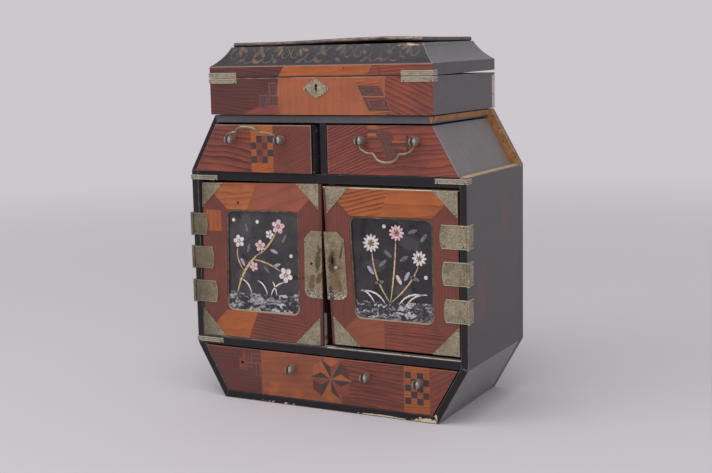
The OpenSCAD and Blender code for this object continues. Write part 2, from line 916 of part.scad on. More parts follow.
module left_door_panel_moulding() {
    panel_moulding(left_opening);
}

module right_door_panel_moulding() {
    panel_moulding(right_opening);
}

// Four plates in the corners of a quadrilateral
module corner_plates(within) {
    color("#8f8b77")
        for (i = [0:3])
            let (leg = i == 1 || i == 2 ? plate_leg_top : plate_leg_low,
                to_next = unit(within[(i + 1) % 4] - within[i]),
                to_last = unit(within[(i + 3) % 4] - within[i]))
                board([within[i], within[i] + leg*to_next, within[i] + leg*to_last], front_y - plate_t, front_y);
}

module left_door_corner_plates() {
    corner_plates(inset_quad(left_door, [0, 0, door_lip, 0]));
}

module right_door_corner_plates() {
    corner_plates(inset_quad(right_door, [door_lip, 0, 0, 0]));
}

// Half of the lock plate, with its straight side on x = 0 and its body in +X
module half_plate(w) {
    half_h = lock_plate_h/2;
    polygon([[0, -half_h], [w - lock_plate_r, -half_h], [w, lock_plate_r - half_h],
        [w, half_h - lock_plate_r], [w - lock_plate_r, half_h], [0, half_h]]);
    translate([w - lock_plate_r, lock_plate_r - half_h])
        circle(lock_plate_r);
}

left_edge_lean = atan((left_free_gap_low - left_free_gap_top)/(left_door[2][1] - left_door[3][1]));
right_edge_lean = atan((right_free_gap_low - right_free_gap_top)/(right_door[1][1] - right_door[0][1]));
door_key_x = 6;
door_key_rise = 6;
door_key_r = 1.3;
knob_x = 12.5;
knob_drop = 1;

module left_door_lock_plate() {
    color("#9a947a")
        in_front_view(front_y - plate_t, front_y)
            translate([at_z(left_door[3], left_door[2], lock_z), lock_z])
                rotate(-left_edge_lean)
                    mirror([1, 0])
                        half_plate(lock_plate_w[0]);
}

module at_right_plate() {
    translate([at_z(right_door[0], right_door[1], lock_z), lock_z])
        rotate(right_edge_lean)
            children();
}

module right_door_lock_plate() {
    color("#9a947a")
        in_front_view(front_y - plate_t, front_y)
            at_right_plate()
                difference() {
                    translate([-lock_plate_over, 0])
                        half_plate(lock_plate_w[1]);
                    translate([door_key_x, door_key_rise])
                        keyhole(door_key_r);
                }
}

module right_door_knob() {
    stem_l = 2.2;
    stem_r = knob_r*0.45;
    ball_out = stem_l + knob_r*0.8;
    color("#c9c6ba")
        translate([at_z(right_door[0], right_door[1], lock_z) + knob_x, front_y - plate_t, lock_z - knob_drop])
            rotate([90, 0, 0]) {
                cylinder(h=ball_out, r=stem_r);
                translate([0, 0, ball_out])
                    sphere(knob_r);
            }
}

module right_door_lock_case() {
    case_long = 26;
    case_low = lock_z - 20;
    case_high = lock_z + 20;
    inside_y = front_y + door_t;
    color("#8f8a78")
        block([at_z(right_door[0], right_door[1], case_low) + lock_case_set, inside_y, case_low],
            [at_z(right_door[0], right_door[1], lock_z) + case_long, inside_y + lock_case_t, case_high]);
}

// Drawers. A drawer's outline is a quadrilateral in the front view, in the
// same order as a door's corners.
slant_off = shoulder_t + drawer_slant_gap;
slant_low = outer_hi + slant_off*shoulder_in;
slant_high = outer_top + slant_off*shoulder_in;
foot_off = board_t + drawer_slant_gap;
foot_low = outer_base + foot_off*foot_in;
foot_high = outer_lo + foot_off*foot_in;

small_z0 = upper_shelf_top + drawer_low_gap;
small_z1 = case_h - board_t - drawer_top_gap;
left_small_x1 = divider_x - divider_t/2 - drawer_divider_gap - left_drawer_slack;
right_small_x0 = divider_x + divider_t/2 + drawer_divider_gap;
left_small = [
    [at_z(slant_low, slant_high, small_z0), small_z0],
    [at_z(slant_low, slant_high, small_z1), small_z1],
    [left_small_x1, small_z1],
    [left_small_x1, small_z0]];
right_small = [
    [right_small_x0, small_z0],
    [right_small_x0, small_z1],
    [-at_z(slant_low, slant_high, small_z1), small_z1],
    [-at_z(slant_low, slant_high, small_z0), small_z0]];
long_z0 = board_t + drawer_low_gap;
long_z1 = knee_lo - long_drawer_top_gap;
long_outline = [
    [at_z(foot_low, foot_high, long_z0), long_z0],
    [at_z(foot_low, foot_high, long_z1), long_z1],
    [-at_z(foot_low, foot_high, long_z1), long_z1],
    [-at_z(foot_low, foot_high, long_z0), long_z0]];
drawer_y1 = panel_y - drawer_back_gap;
left_small_y0 = front_y - left_drawer_out;
left_small_y1 = drawer_y1 - left_drawer_out;

// Width of a side board in the front view, square to its slant
function side_w(p, q) = wall_t*norm(q - p)/abs(q[1] - p[1]);

module tray_sides(q, y0, y1) {
    left_w = [side_w(q[0], q[1]), 0];
    right_w = [side_w(q[2], q[3]), 0];
    board([q[0], q[1], q[1] + left_w, q[0] + left_w], y0 + front_lap, y1);
    board([q[3] - right_w, q[2] - right_w, q[2], q[3]], y0 + front_lap, y1);
}

// The front board, with a rabbet at each end for a side board
module drawer_front(q, y0) {
    left_w = [side_w(q[0], q[1]) + glue_line, 0];
    right_w = [side_w(q[2], q[3]) + glue_line, 0];
    lap_y = y0 + front_lap - glue_line;
    board(q, y0, lap_y);
    board([q[0] + left_w, q[1] + left_w, q[2] - right_w, q[3] - right_w], lap_y, y0 + front_t);
}

module drawer_tray(q, y0, y1) {
    low = q[0][1];
    floor_z = low + tray_floor_t;
    high = q[1][1];
    left_w = side_w(q[0], q[1]) + glue_line;
    right_w = side_w(q[2], q[3]) + glue_line;
    tray_sides(q, y0, y1);
    // floor, then back
    board([for (z = [low, floor_z]) [at_z(q[0], q[1], z) + left_w, z],
        for (z = [floor_z, low]) [at_z(q[3], q[2], z) - right_w, z]], y0 + front_t + glue_line, y1);
    board([for (z = [floor_z + glue_line, high]) [at_z(q[0], q[1], z) + left_w, z],
        for (z = [high, floor_z + glue_line]) [at_z(q[3], q[2], z) - right_w, z]], y1 - wall_t, y1);
}

bail_z = case_h - board_t - bail_drop;
post_bore_r = 1.6;

module left_drawer_front() {
    color("#8a4a2c")
        drawer_front(left_small, left_small_y0);
}

module left_drawer_tray() {
    color("#4c4a48")
        drawer_tray(left_small, left_small_y0, left_small_y1);
}

module right_drawer_front() {
    color("#8a4a2c")
        drawer_front(right_small, front_y);
}

module right_drawer_tray() {
    color("#4c4a48")
        drawer_tray(right_small, front_y, drawer_y1);
}

// The first of the long drawer's four posts has come out and left its hole
module long_drawer_front() {
    color("#8a4a2c")
        difference() {
            drawer_front(long_outline, front_y);
            translate([long_post_x[0], front_y + front_t/2, long_z0 + long_boss_rise])
                rotate([90, 0, 0])
                    cylinder(h=front_t*2, r=post_bore_r, center=true);
        }
}

module long_drawer_tray() {
    color("#4c4a48")
        drawer_tray(long_outline, front_y, drawer_y1);
}

// Fluted ball on a post that stands out along -Y from the origin. A slot up
// its front takes the bail's leg, and a cross bore takes the bail's pin.
bail_pin_l = 7;
bail_side_gap = 0.4;
slot_w = 2*(max(wire_r, bail_pin_r) + bail_side_gap);

module boss() {
    flutes = 10;
    flute_r = 1;
    flute_out = boss_r + 0.4*flute_r;
    post_r = 2.4;
    rosette_r = 4.4;
    rosette_t = 0.8;
    back_gap = 1;
    difference() {
        union() {
            rotate([90, 0, 0]) {
                cylinder(h=boss_out, r=post_r);
                cylinder(h=rosette_t, r=rosette_r);
            }
            translate([0, -boss_out, 0])
                difference() {
                    sphere(boss_r);
                    for (i = [0:flutes - 1])
                        rotate([90, (i + 0.5)*360/flutes, 0])
                            translate([flute_out, 0, 0])
                                cylinder(h=boss_r*2, r=flute_r, center=true);
                    // flat back, clear of the drawer
                    block([-boss_r, boss_out - back_gap, -boss_r], [boss_r, boss_r + cut_clear, boss_r]);
                }
        }
        translate([0, -boss_out, 0]) {
            block([-slot_w/2, -boss_r - cut_clear, -boss_r - cut_clear],
                [slot_w/2, wire_r + 2*bail_side_gap, boss_r + cut_clear]);
            along_x()
                cylinder(h=bail_pin_l + bail_side_gap, r=bail_pin_r + pin_gap, center=true);
        }
    }
}

module boss_pair(x, y) {
    for (side = [-1, 1])
        translate([x + side*bail_span/2, y, bail_z])
            boss();
}

module left_drawer_bosses() {
    color("#b3aea0")
        boss_pair(-left_bail_x, left_small_y0);
}

module right_drawer_bosses() {
    color("#b3aea0")
        boss_pair(right_bail_x, front_y);
}

module long_drawer_bosses() {
    color("#b3aea0")
        for (i = [1:3])
            translate([long_post_x[i], front_y, long_z0 + long_boss_rise])
                boss();
}

// Bail. Its centre line runs straight down from each pin, clear of the boss,
// then over a shoulder and along the belly: two Bezier curves on each half.
bail_depth = 21.6;
leg_l = 0.8*boss_r;
leg_bend = 4.5;
shoulder = [0.55*bail_span/2, 0.58*bail_depth];
shoulder_run = [0.13*bail_span/2, 0.035*bail_depth];
belly_run = 0.24*bail_span;
curve_steps = 9;
wire_sides = 10;

function bezier(a, b, c, d, t) = pow(1 - t, 3)*a + 3*t*pow(1 - t, 2)*b + 3*t*t*(1 - t)*c + pow(t, 3)*d;

// Points of the left half, x from the middle outwards and depth below the pins
half_line = let (leg = [bail_span/2, leg_l], belly = [0, bail_depth]) concat(
    [[bail_span/2, 0]],
    [for (i = [0:curve_steps])
        bezier(leg, leg + [0, leg_bend], shoulder + shoulder_run, shoulder, i/curve_steps)],
    [for (i = [1:curve_steps])
        bezier(shoulder, shoulder - 1.3*shoulder_run, belly + [belly_run, 0], belly, i/curve_steps)]);
half_count = len(half_line);
bail_line = concat([for (p = half_line) [-p[0], -p[1]]],
    [for (i = [half_count - 2:-1:0]) [half_line[i][0], -half_line[i][1]]]);
bail_rings = len(bail_line);

// The wire swells smoothly from its legs to its belly
function wire_radius(i) = let (k = sin(180*i/(bail_rings - 1))) wire_r + (belly_r - wire_r)*pow(k, 3);
function along(i) = unit(bail_line[min(i + 1, bail_rings - 1)] - bail_line[max(i - 1, 0)]);
wire_points = [for (i = [0:bail_rings - 1], j = [0:wire_sides - 1])
    let (a = 360*j/wire_sides, d = along(i), r = wire_radius(i), p = bail_line[i])
    [p[0] - d[1]*r*cos(a), r*sin(a), p[1] + d[0]*r*cos(a)]];
wire_faces = concat(
    [[for (j = [wire_sides - 1:-1:0]) j]],
    [for (i = [0:bail_rings - 2], j = [0:wire_sides - 1])
        let (k = (j + 1) % wire_sides, a = i*wire_sides, b = a + wire_sides)
        each [[a + j, a + k, b + k], [a + j, b + k, b + j]]],
    [[for (j = [0:wire_sides - 1]) (bail_rings - 1)*wire_sides + j]]);

module bail(x, y, raise) {
    color("#c4bfae")
        translate([x, y - boss_out, bail_z])
            rotate([-raise, 0, 0]) {
                polyhedron(wire_points, wire_faces);
                for (side = [-1, 1])
                    translate([side*bail_span/2, 0, 0])
                        along_x()
                            cylinder(h=bail_pin_l, r=bail_pin_r, center=true);
            }
}

module left_bail() {
    bail(-left_bail_x, left_small_y0, left_bail_angle);
}

module right_bail() {
    bail(right_bail_x, front_y, 0);
}

// Inner drawers behind the doors, two on each side of the partition
inner_drawer_y0 = front_y + door_t + inner_knob_l + inner_knob_room;
inner_rows = [[door_space_low + drawer_low_gap, inner_mid_z - inner_t/2 - inner_gap],
    [inner_mid_z + inner_t/2 + drawer_low_gap, door_space_top - inner_gap]];
inner_cols = [[-inner_side_x + inner_gap, -inner_t/2 - inner_gap], [inner_t/2 + inner_gap, inner_side_x - inner_gap]];

function rect(x, z) = [[x[0], z[0]], [x[0], z[1]], [x[1], z[1]], [x[1], z[0]]];

module inner_drawer(col, row) {
    q = rect(inner_cols[col], inner_rows[row]);
    color("#7d5636") {
        drawer_front(q, inner_drawer_y0);
        drawer_tray(q, inner_drawer_y0, drawer_y1);
    }
}

module inner_knob(col, row) {
    x = inner_cols[col];
    z = inner_rows[row];
    color("#b3aea0")
        translate([(x[0] + x[1])/2, inner_drawer_y0, (z[0] + z[1])/2])
            rotate([90, 0, 0])
                rotate_extrude()
                    polygon([[0, 0], [inner_knob_r*0.8, 0], [inner_knob_r*0.8, inner_knob_l*0.08],
                        [inner_knob_r*0.35, inner_knob_l*0.16], [inner_knob_r*0.35, inner_knob_l*0.45],
                        [inner_knob_r*0.9, inner_knob_l*0.6], [inner_knob_r, inner_knob_l*0.8],
                        [inner_knob_r*0.65, inner_knob_l], [0, inner_knob_l]]);
}

module inner_drawer_low_left() {
    inner_drawer(0, 0);
}

module inner_drawer_high_left() {
    inner_drawer(0, 1);
}

module inner_drawer_low_right() {
    inner_drawer(1, 0);
}

module inner_drawer_high_right() {
    inner_drawer(1, 1);
}

module inner_knob_low_left() {
    inner_knob(0, 0);
}

module inner_knob_high_left() {
    inner_knob(0, 1);
}

module inner_knob_low_right() {
    inner_knob(1, 0);
}

module inner_knob_high_right() {
    inner_knob(1, 1);
}

case_bottom_board();
case_top_board();
case_foot_boards();
case_side_boards();
case_left_shoulder_board();
case_back_panel();
upper_shelf();
lower_shelf();
upper_divider();
inner_drawer_case();
box_front_board();
box_side_boards();
box_rear_board();
box_floor_board();
box_keyhole_plate();
box_lock_case();
corner_straps();
door_hinge_case_leaves();
door_hinge_pins();
lid_hinge_box_leaves();
lid_hinge_pins();
lid_rim_boards();
lid_cove_mouldings();
lid_top_board();
lid_lock_staple();
lid_corner_straps();
lid_hinge_lid_leaves();
left_door_frame();
left_door_lacquer_panel();
left_door_panel_moulding();
left_door_corner_plates();
left_door_hinge_leaves();
left_door_lock_plate();
right_door_frame();
right_door_lacquer_panel();
right_door_panel_moulding();
right_door_corner_plates();
right_door_hinge_leaves();
right_door_lock_plate();
right_door_knob();
right_door_lock_case();
left_drawer_front();
left_drawer_tray();
left_drawer_bosses();
left_bail();
right_drawer_front();
right_drawer_tray();
right_drawer_bosses();
right_bail();
long_drawer_front();
long_drawer_tray();
long_drawer_bosses();
inner_drawer_low_left();
inner_drawer_high_left();
inner_drawer_low_right();
inner_drawer_high_right();
inner_knob_low_left();
inner_knob_high_left();
inner_knob_low_right();
inner_knob_high_right();
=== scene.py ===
"""Looks of the jewelry chest, built round its packed solids.

Every length in this file is in millimetres unless its name says otherwise, and
every place is in the frame of the packed part: X to the viewer's right, Y to
the back, Z up, from the middle of the case's base.
"""

import logging
import math
from contextlib import contextmanager
from dataclasses import dataclass, field
from enum import Enum
from functools import reduce
from typing import Callable, Iterator, Optional, Protocol, Sequence, Union

import bpy
from mathutils import Matrix, Vector


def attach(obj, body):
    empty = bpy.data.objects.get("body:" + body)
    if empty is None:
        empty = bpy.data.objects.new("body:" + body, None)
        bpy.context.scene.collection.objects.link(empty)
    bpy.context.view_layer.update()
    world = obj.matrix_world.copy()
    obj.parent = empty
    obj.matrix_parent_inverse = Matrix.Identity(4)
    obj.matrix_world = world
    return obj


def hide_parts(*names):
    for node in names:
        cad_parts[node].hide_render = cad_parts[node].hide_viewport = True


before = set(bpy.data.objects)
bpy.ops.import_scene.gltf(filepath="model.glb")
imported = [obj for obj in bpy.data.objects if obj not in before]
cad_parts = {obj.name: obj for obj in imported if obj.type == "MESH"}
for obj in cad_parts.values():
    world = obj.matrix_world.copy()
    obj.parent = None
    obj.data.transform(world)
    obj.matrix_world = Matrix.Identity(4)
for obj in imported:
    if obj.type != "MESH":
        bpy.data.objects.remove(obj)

LOG = logging.getLogger("jewelry_chest")
MM = 0.001

Rgb = tuple[float, float, float]
Point = tuple[float, float]
Place = tuple[float, float, float]
Box = tuple[float, float, float, float]
Socket = bpy.types.NodeSocket
Thing = bpy.types.Object


def tone(red: int, green: int, blue: int) -> Rgb:
    """Turns a screen colour, with parts from 0 to 255, into a linear one.

    Args:
        red: Red part, 0 to 255.
        green: Green part, 0 to 255.
        blue: Blue part, 0 to 255.

    Returns:
        The linear colour.
    """
    def linear(value: int) -> float:
        """Removes the screen's curve from one part."""
        share = value / 255
        return share / 12.92 if share <= 0.04045 else ((share + 0.055) / 1.055) ** 2.4
    return linear(red), linear(green), linear(blue)


def scaled(shade: Rgb, by: float, lift: float = 0.0) -> Rgb:
    """Makes a colour darker or lighter."""
    return tuple(min(1.0, part * by + lift) for part in shade)


class Wood(Enum):
    """Veneer and board colours, as light wood and dark ring."""

    ORANGE = (tone(172, 92, 42), tone(112, 52, 28))
    HONEY = (tone(160, 88, 56), tone(130, 70, 46))
    RED = (tone(141, 67, 50), tone(67, 39, 38))
    RUSSET = (tone(118, 58, 46), tone(80, 42, 38))
    PLUM = (tone(94, 48, 41), tone(54, 32, 34))
    EBONY = (tone(58, 52, 54), tone(46, 42, 46))
    SLATE = (tone(88, 66, 66), tone(66, 52, 54))
    OCHRE = (tone(166, 116, 70), tone(112, 72, 42))
    CREAM = (tone(206, 184, 158), tone(176, 144, 114))
    PALE = (tone(186, 158, 128), tone(150, 116, 86))
    GREYED = (tone(190, 178, 166), tone(140, 130, 122))
    RUBBED = (tone(168, 138, 124), tone(92, 72, 68))


class Metal(Enum):
    """Metal colours, as clean and tarnished."""

    PLATE = (tone(174, 164, 138), tone(86, 76, 59))
    STAINED = (tone(166, 153, 127), tone(84, 66, 42))
    STRAP = (tone(182, 172, 148), tone(78, 68, 52))
    BAIL = (tone(152, 140, 116), tone(66, 56, 40))
    BOSS = (tone(164, 156, 149), tone(70, 64, 59))
    NAIL = (tone(62, 54, 42), tone(30, 26, 22))


class Shell(Enum):
    """Tints of mother-of-pearl, as plain colour and play of colour."""

    WHITE = (tone(228, 222, 212), tone(190, 172, 186))
    ROSE = (tone(202, 142, 162), tone(226, 204, 200))
    GOLD = (tone(212, 190, 128), tone(172, 126, 80))
    VIOLET = (tone(136, 124, 166), tone(178, 172, 188))
    DIM = (tone(108, 104, 108), tone(76, 76, 84))


class Side(Enum):
    """Left or right, as the viewer sees it."""

    LEFT = "left"
    RIGHT = "right"


# Materials

Number = Union["Field", float, int]
Colour = Union[Socket, Rgb, "Facet"]
Layer = tuple[Number, Colour]


def operation(name: str, about: str) -> Callable[..., "Field"]:
    """Makes a method of Field.

    Args:
        name: Blender's name of a math operation.
        about: What the method gives.

    Returns:
        The method.
    """
    def method(self: "Field", *others: Number) -> "Field":
        """Adds the node."""
        return self.paint.math(name, self, *others)
    method.__doc__ = about
    return method


class Field:
    """A number that varies over a surface: one socket of a material."""

    def __init__(self, paint: "Paint", socket: Socket) -> None:
        """Holds the socket and the material that it belongs to."""
        self.paint = paint
        self.socket = socket

    __add__ = __radd__ = operation("ADD", "Sum.")
    __sub__ = operation("SUBTRACT", "Difference.")
    __mul__ = __rmul__ = operation("MULTIPLY", "Product.")
    __truediv__ = operation("DIVIDE", "Quotient.")
    __pow__ = operation("POWER", "Power.")
    above = operation("GREATER_THAN", "1 where the field is over the limit.")
    below = operation("LESS_THAN", "1 where the field is under the limit.")
    least = operation("MINIMUM", "The smaller of two.")
    most = operation("MAXIMUM", "The larger of two.")
    part = operation("FRACT", "What follows the decimal point.")
    whole = operation("FLOOR", "What stands before the decimal point.")
    size = operation("ABSOLUTE", "The value without its sign.")

    def __rsub__(self, other: Number) -> "Field":
        """Difference, from a plain number."""
        return self.paint.math("SUBTRACT", other, self)

    def held(self) -> "Field":
        """The field kept between 0 and 1."""
        return self.paint.math("ADD", self, 0.0, clamp=True)

    def ramp(self, low: float, high: float) -> "Field":
        """Straight rise from 0 at low to 1 at high."""
        return self.paint.math("DIVIDE", self - low, high - low, clamp=True)

    def within(self, low: Number, high: Number) -> "Field":
        """1 where the field lies between two limits."""
        return self.above(low) * self.below(high)


class Graph:
    """A node tree under construction."""

    def __init__(self, tree: bpy.types.NodeTree) -> None:
        """Empties the tree."""
        self.tree = tree
        tree.nodes.clear()

    def node(self, kind: str, *values: Union[Number, Colour], **named: Union[Number, Colour, list]) -> bpy.types.Node:
        """Adds a node.

        Args:
            kind: Blender's name of it, without ShaderNode.
            *values: What its first inputs take.
            **named: What other inputs take, by name.

        Returns:
            The node.
        """
        node = self.tree.nodes.new("ShaderNode" + kind)
        for slot, value in zip(node.inputs, values):
            self.feed(slot, value)
        for name, value in named.items():
            self.feed(node.inputs[name], value)
        return node

    def feed(self, slot: Socket, value: Union[Number, Colour, list]) -> None:
        """Links an input to a socket, or sets a constant on it.

        Args:
            slot: The input.
            value: What it takes.
        """
        if isinstance(value, Socket):
            self.tree.links.new(value, slot)
        else:
            slot.default_value = (*value, 1.0) if isinstance(value, tuple) else value


class Paint(Graph):
    """A material under construction, measured in millimetres."""

    def __init__(self, name: str) -> None:
        """Starts an empty material of that name.

        Args:
            name: The material's name.
        """
        self.material = bpy.data.materials.new(name)
        self.material.use_nodes = True
        super().__init__(self.material.node_tree)
        self.cut: dict["Facet", Socket] = {}
        self.where = self.node("TexCoord").outputs["Object"]
        split = self.node("SeparateXYZ", self.where)
        self.x, self.y, self.z = (Field(self, out) * 1000.0 for out in split.outputs)

    def feed(self, slot: Socket, value: Union[Number, Colour, list]) -> None:
        """Links an input to a field, socket or piece of veneer, or sets a constant on it.

        Args:
            slot: The input.
            value: What it takes.
        """
        if isinstance(value, Facet):
            value = self.cut.get(value) or self.cut_out(value)
        super().feed(slot, value.socket if isinstance(value, Field) else value)

    def cut_out(self, piece: "Facet") -> Socket:
        """Builds the colour of a piece of veneer, once for each material."""
        self.cut[piece] = piece.colour(self)
        return self.cut[piece]

    def math(self, name: str, *values: Number, clamp: bool = False) -> Field:
        """Adds a math node.

        Args:
            name: Blender's name of the operation.
            *values: Fields or plain numbers.
            clamp: Whether to keep the result between 0 and 1.

        Returns:
            The result.
        """
        node = self.node("Math", *values)
        node.operation = name
        node.use_clamp = clamp
        return Field(self, node.outputs[0])

    def vector(self, x: Number, y: Number, z: Number) -> Socket:
        """Joins three numbers to a vector."""
        return self.node("CombineXYZ", x, y, z).outputs[0]

    def placed(self, size: Place, seed: float) -> Socket:
        """Object coordinates divided by a size along each axis, and shifted by a seed."""
        return self.node("Mapping", self.where, Scale=[1 / (MM * s) for s in size],
                         Location=[seed * 7.3, seed * 3.1, seed * 5.7]).outputs[0]

    def noise(self, size: Union[float, Place], detail: float = 2.0, seed: float = 0.0,
              rough: float = 0.5, at: Optional[Socket] = None) -> Field:
        """Adds cloudy noise with a middle near one half.

        Args:
            size: Size of a cloud, the same each way or along each axis.
            detail: How many finer layers it has.
            seed: Shift of the pattern.
            rough: Strength of the finer layers.
            at: Vector to read, in units of the clouds, in place of the surface.

        Returns:
            The noise, 0 to 1.
        """
        sizes = size if isinstance(size, tuple) else (size, size, size)
        node = self.node("TexNoise", at or self.placed(sizes, seed), Scale=1.0, Detail=detail, Roughness=rough)
        return Field(self, node.outputs[0])

    def cells(self, size: float, seed: float = 0.0, feature: str = "F1",
              at: Optional[Socket] = None) -> tuple[Field, Socket]:
        """Adds a cell pattern.

        Args:
            size: Size of a cell.
            seed: Shift of the pattern.
            feature: Blender's name of the pattern's feature.
            at: Vector to read, in units of the cells, in place of the surface.

        Returns:
            Distance field and, with F1, the colour of each cell.
        """
        node = self.node("TexVoronoi", at or self.placed((size, size, size), seed), Scale=1.0)
        node.feature = feature
        return Field(self, node.outputs["Distance"]), node.outputs.get("Color")

    def mix(self, share: Number, first: Colour, second: Colour) -> Socket:
        """Goes from the first colour, at a share of 0, to the second one, at 1.

        Args:
            share: How much of the second colour shows.
            first: Colour at 0.
            second: Colour at 1.

        Returns:
            The mixed colour.
        """
        node = self.node("Mix")
        node.data_type = "RGBA"
        for slot, value in zip((0, 6, 7), (share, first, second)):
            self.feed(node.inputs[slot], value)
        return node.outputs[2]

    def layers(self, base: Colour, *tops: Layer) -> Colour:
        """Lays colours over a base, one after the other, each with its share.

        Args:
            base: What lies below.
            *tops: Share and colour of each layer.

        Returns:
            The result.
        """
        for share, top in tops:
            base = self.mix(share, base, top)
        return base

    def inside(self, corners: Sequence[Point], soft: float = 0.0) -> Field:
        """1 inside a convex outline of the front view.

        Args:
            corners: Corners as X and Z, anticlockwise as seen from the front.
            soft: Half width of the blurred edge, or 0 for a sharp one.

        Returns:
            The mask.
        """
        depths = []
        for (x0, z0), (x1, z1) in zip(corners, [*corners[1:], corners[0]]):
            length = math.hypot(x1 - x0, z1 - z0)
            depths.append((self.z - z0) * ((x1 - x0) / length) - (self.x - x0) * ((z1 - z0) / length))
        depth = reduce(Field.least, depths)
        return depth.ramp(-soft, soft) if soft else depth.above(0.0)

    def box(self, x0: float, z0: float, x1: float, z1: float) -> Field:
        """1 inside an upright rectangle of the front view."""
        return self.x.within(x0, x1) * self.z.within(z0, z1)

    def bars(self, rows: Sequence[Box], slant: float = 0.0, base: float = 0.0) -> Field:
        """1 inside upright bars of the front view, all leaning by the same slant.

        Args:
            rows: Each bar as its lowest X and Z and its highest X and Z.
            slant: Shift of X for each unit of Z below the base.
            base: Height at which nothing is shifted.

        Returns:
            The mask.
        """
        shifted = self.x - (base - self.z) * slant if slant else self.x
        return reduce(Field.most, [shifted.within(x0, x1) * self.z.within(z0, z1) for x0, z0, x1, z1 in rows])

    def depth(self, x: float, z: float, long: float, wide: float, turn: float = 0.0,
              across: Optional[Field] = None) -> Field:
        """How deep a place lies in an oval: 1 in its middle, 0 on its outline.

        Args:
            x: Middle, to the right.
            z: Middle, upwards.
            long: Half length along its direction.
            wide: Half width.
            turn: Direction, in degrees.
            across: What to read in place of X.

        Returns:
            The depth.
        """
        c, s = math.cos(math.radians(turn)), math.sin(math.radians(turn))
        dx, dz = (across or self.x) - x, self.z - z
        along, aside = (dx * c + dz * s) / long, (dz * c - dx * s) / wide
        return 1.0 - (along * along + aside * aside)

    def oval(self, *shape: float, across: Optional[Field] = None) -> Field:
        """1 inside an oval of the front view, given as for the depth."""
        return self.depth(*shape, across=across).above(0.0)

    def scroll(self, x: float, z: float, start: float, turns: float, width: float,
               hand: float, phase: float, across: Field) -> Field:
        """1 on a spiral stroke of the front view.

        Args:
            x: Middle, to the right.
            z: Middle, upwards.
            start: Outer radius.
            turns: Number of turns that it makes.
            width: Width of the stroke.
            hand: 1 anticlockwise inwards, -1 clockwise.
            phase: Direction of its outer end, in turns.
            across: What to read in place of X.

        Returns:
            The mask.
        """
        dx, dz = across - x, (self.z - z) * hand
        radius = (dx * dx + dz * dz) ** 0.5
        angle = (self.math("ARCTAN2", dz, dx) / math.tau + 1.0 - phase).part()
        pitch = start / (turns + 0.35)
        strand = (start - radius) / pitch - angle
        order = (strand + 0.5).whole()
        on_line = ((strand - order).size() * pitch).below(width / 2)
        return on_line * order.above(-0.5) * (order + angle).below(turns)

    def turned(self, degrees: float) -> tuple[Field, Field]:
        """Front view coordinates along and across a direction, anticlockwise from +X."""
        c, s = math.cos(math.radians(degrees)), math.sin(math.radians(degrees))
        return self.x * c + self.z * s, self.z * c - self.x * s

    def finish(self, colour: Colour, rough: Number, metal: float = 0.0, coat: float = 0.0,
               bump: Optional[Field] = None, height: float = 0.1, gloss: float = 0.5) -> bpy.types.Material:
        """Joins colour and relief to the surface's shader.

        Args:
            colour: Base colour.
            rough: Roughness.
            metal: How metallic it is.
            coat: Strength of a clear coat.
            bump: Relief, 0 to 1.
            height: Height of that relief.
            gloss: Strength of the plain reflection.

        Returns:
            The finished material.
        """
        shader = self.node("BsdfPrincipled", **{
            "Base Color": colour, "Roughness": rough, "Metallic": metal, "Coat Weight": coat,
            "Coat Roughness": 0.25, "Specular IOR Level": gloss})
        if bump is not None:
            relief = self.node("Bump", Distance=height * MM, Height=bump)
            self.feed(shader.inputs["Normal"], relief.outputs[0])
        self.node("OutputMaterial", shader.outputs[0])
        return self.material


@dataclass(frozen=True)
class Facet:
    """A small piece of veneer, with fine straight grain.

    The grain's direction in the front view is in degrees.
    """

    wood: Wood
    turn: float = 0.0

    def colour(self, paint: Paint) -> Socket:
        """The veneer's colour on a given material.

        Args:
            paint: The material.

        Returns:
            The colour.
        """
        along, across = paint.turned(self.turn)
        grain = paint.noise(1.0, 2.0, at=paint.vector(along / 14.0, across / 0.9, self.turn))
        return paint.mix(grain.ramp(0.42, 0.72) * 0.6, *self.wood.value)


@dataclass(frozen=True)
class Sheet(Facet):
    """Veneer with year rings, cut along the grain.

    It holds the mean distance between two rings, how far they swing, which
    piece of wood it is, how dark the late wood gets, and a stain with its
    strength.
    """

    ring: float = 3.6
    wave: float = 9.0
    seed: float = 0.0
    dark: float = 0.85
    stain: Rgb = Wood.PLUM.value[0]
    strength: float = 0.0

    def colour(self, paint: Paint) -> Socket:
        """The veneer's colour on a given material.

        Args:
            paint: The material.

        Returns:
            The colour.
        """
        light, late = self.wood.value
        deep = scaled(late, 0.45)
        warm = (light[0] * 1.25, light[1] * 1.2, light[2] * 0.8)
        seed = self.seed
        along, across = paint.turned(self.turn)

        def grain(detail: float, *at: Number) -> Field:
            """Noise along the grain."""
            return paint.noise(1.0, detail, at=paint.vector(*at))

        drift = grain(1.0, along / 85.0, across / 16.0, seed * 3.7)
        sway = grain(2.0, along / 26.0, across / 6.0, seed * 5.1)
        pace = (across + (drift - 0.5) * self.wave * 2.0 + (sway - 0.5) * self.ring * 0.8) / self.ring + seed
        year = grain(0.0, pace.whole() * 0.73, along / 70.0, seed)
        line = (pace.part() ** 2.3) * self.dark * year.ramp(0.04, 0.48)
        fibre = grain(3.0, along / 24.0, across / 0.5, paint.y / 6.0 + seed)
        pores = grain(1.0, along / 4.5, across / 0.32, seed * 2.0).ramp(0.60, 0.72)
        cloud = paint.noise(30.0, 3.0, seed, 0.55)
        amber = paint.noise((40.0, 20.0, 14.0), 3.0, seed + 2.0, 0.6).ramp(0.48, 0.72)
        colour = paint.layers(light, ((fibre - 0.34) * 1.2 + (cloud - 0.5) * 1.3, late), (amber * 0.4, warm),
                              (pores * 0.3, deep), (line.held(), deep))
        return paint.mix(self.strength, colour, self.stain) if self.strength else colour


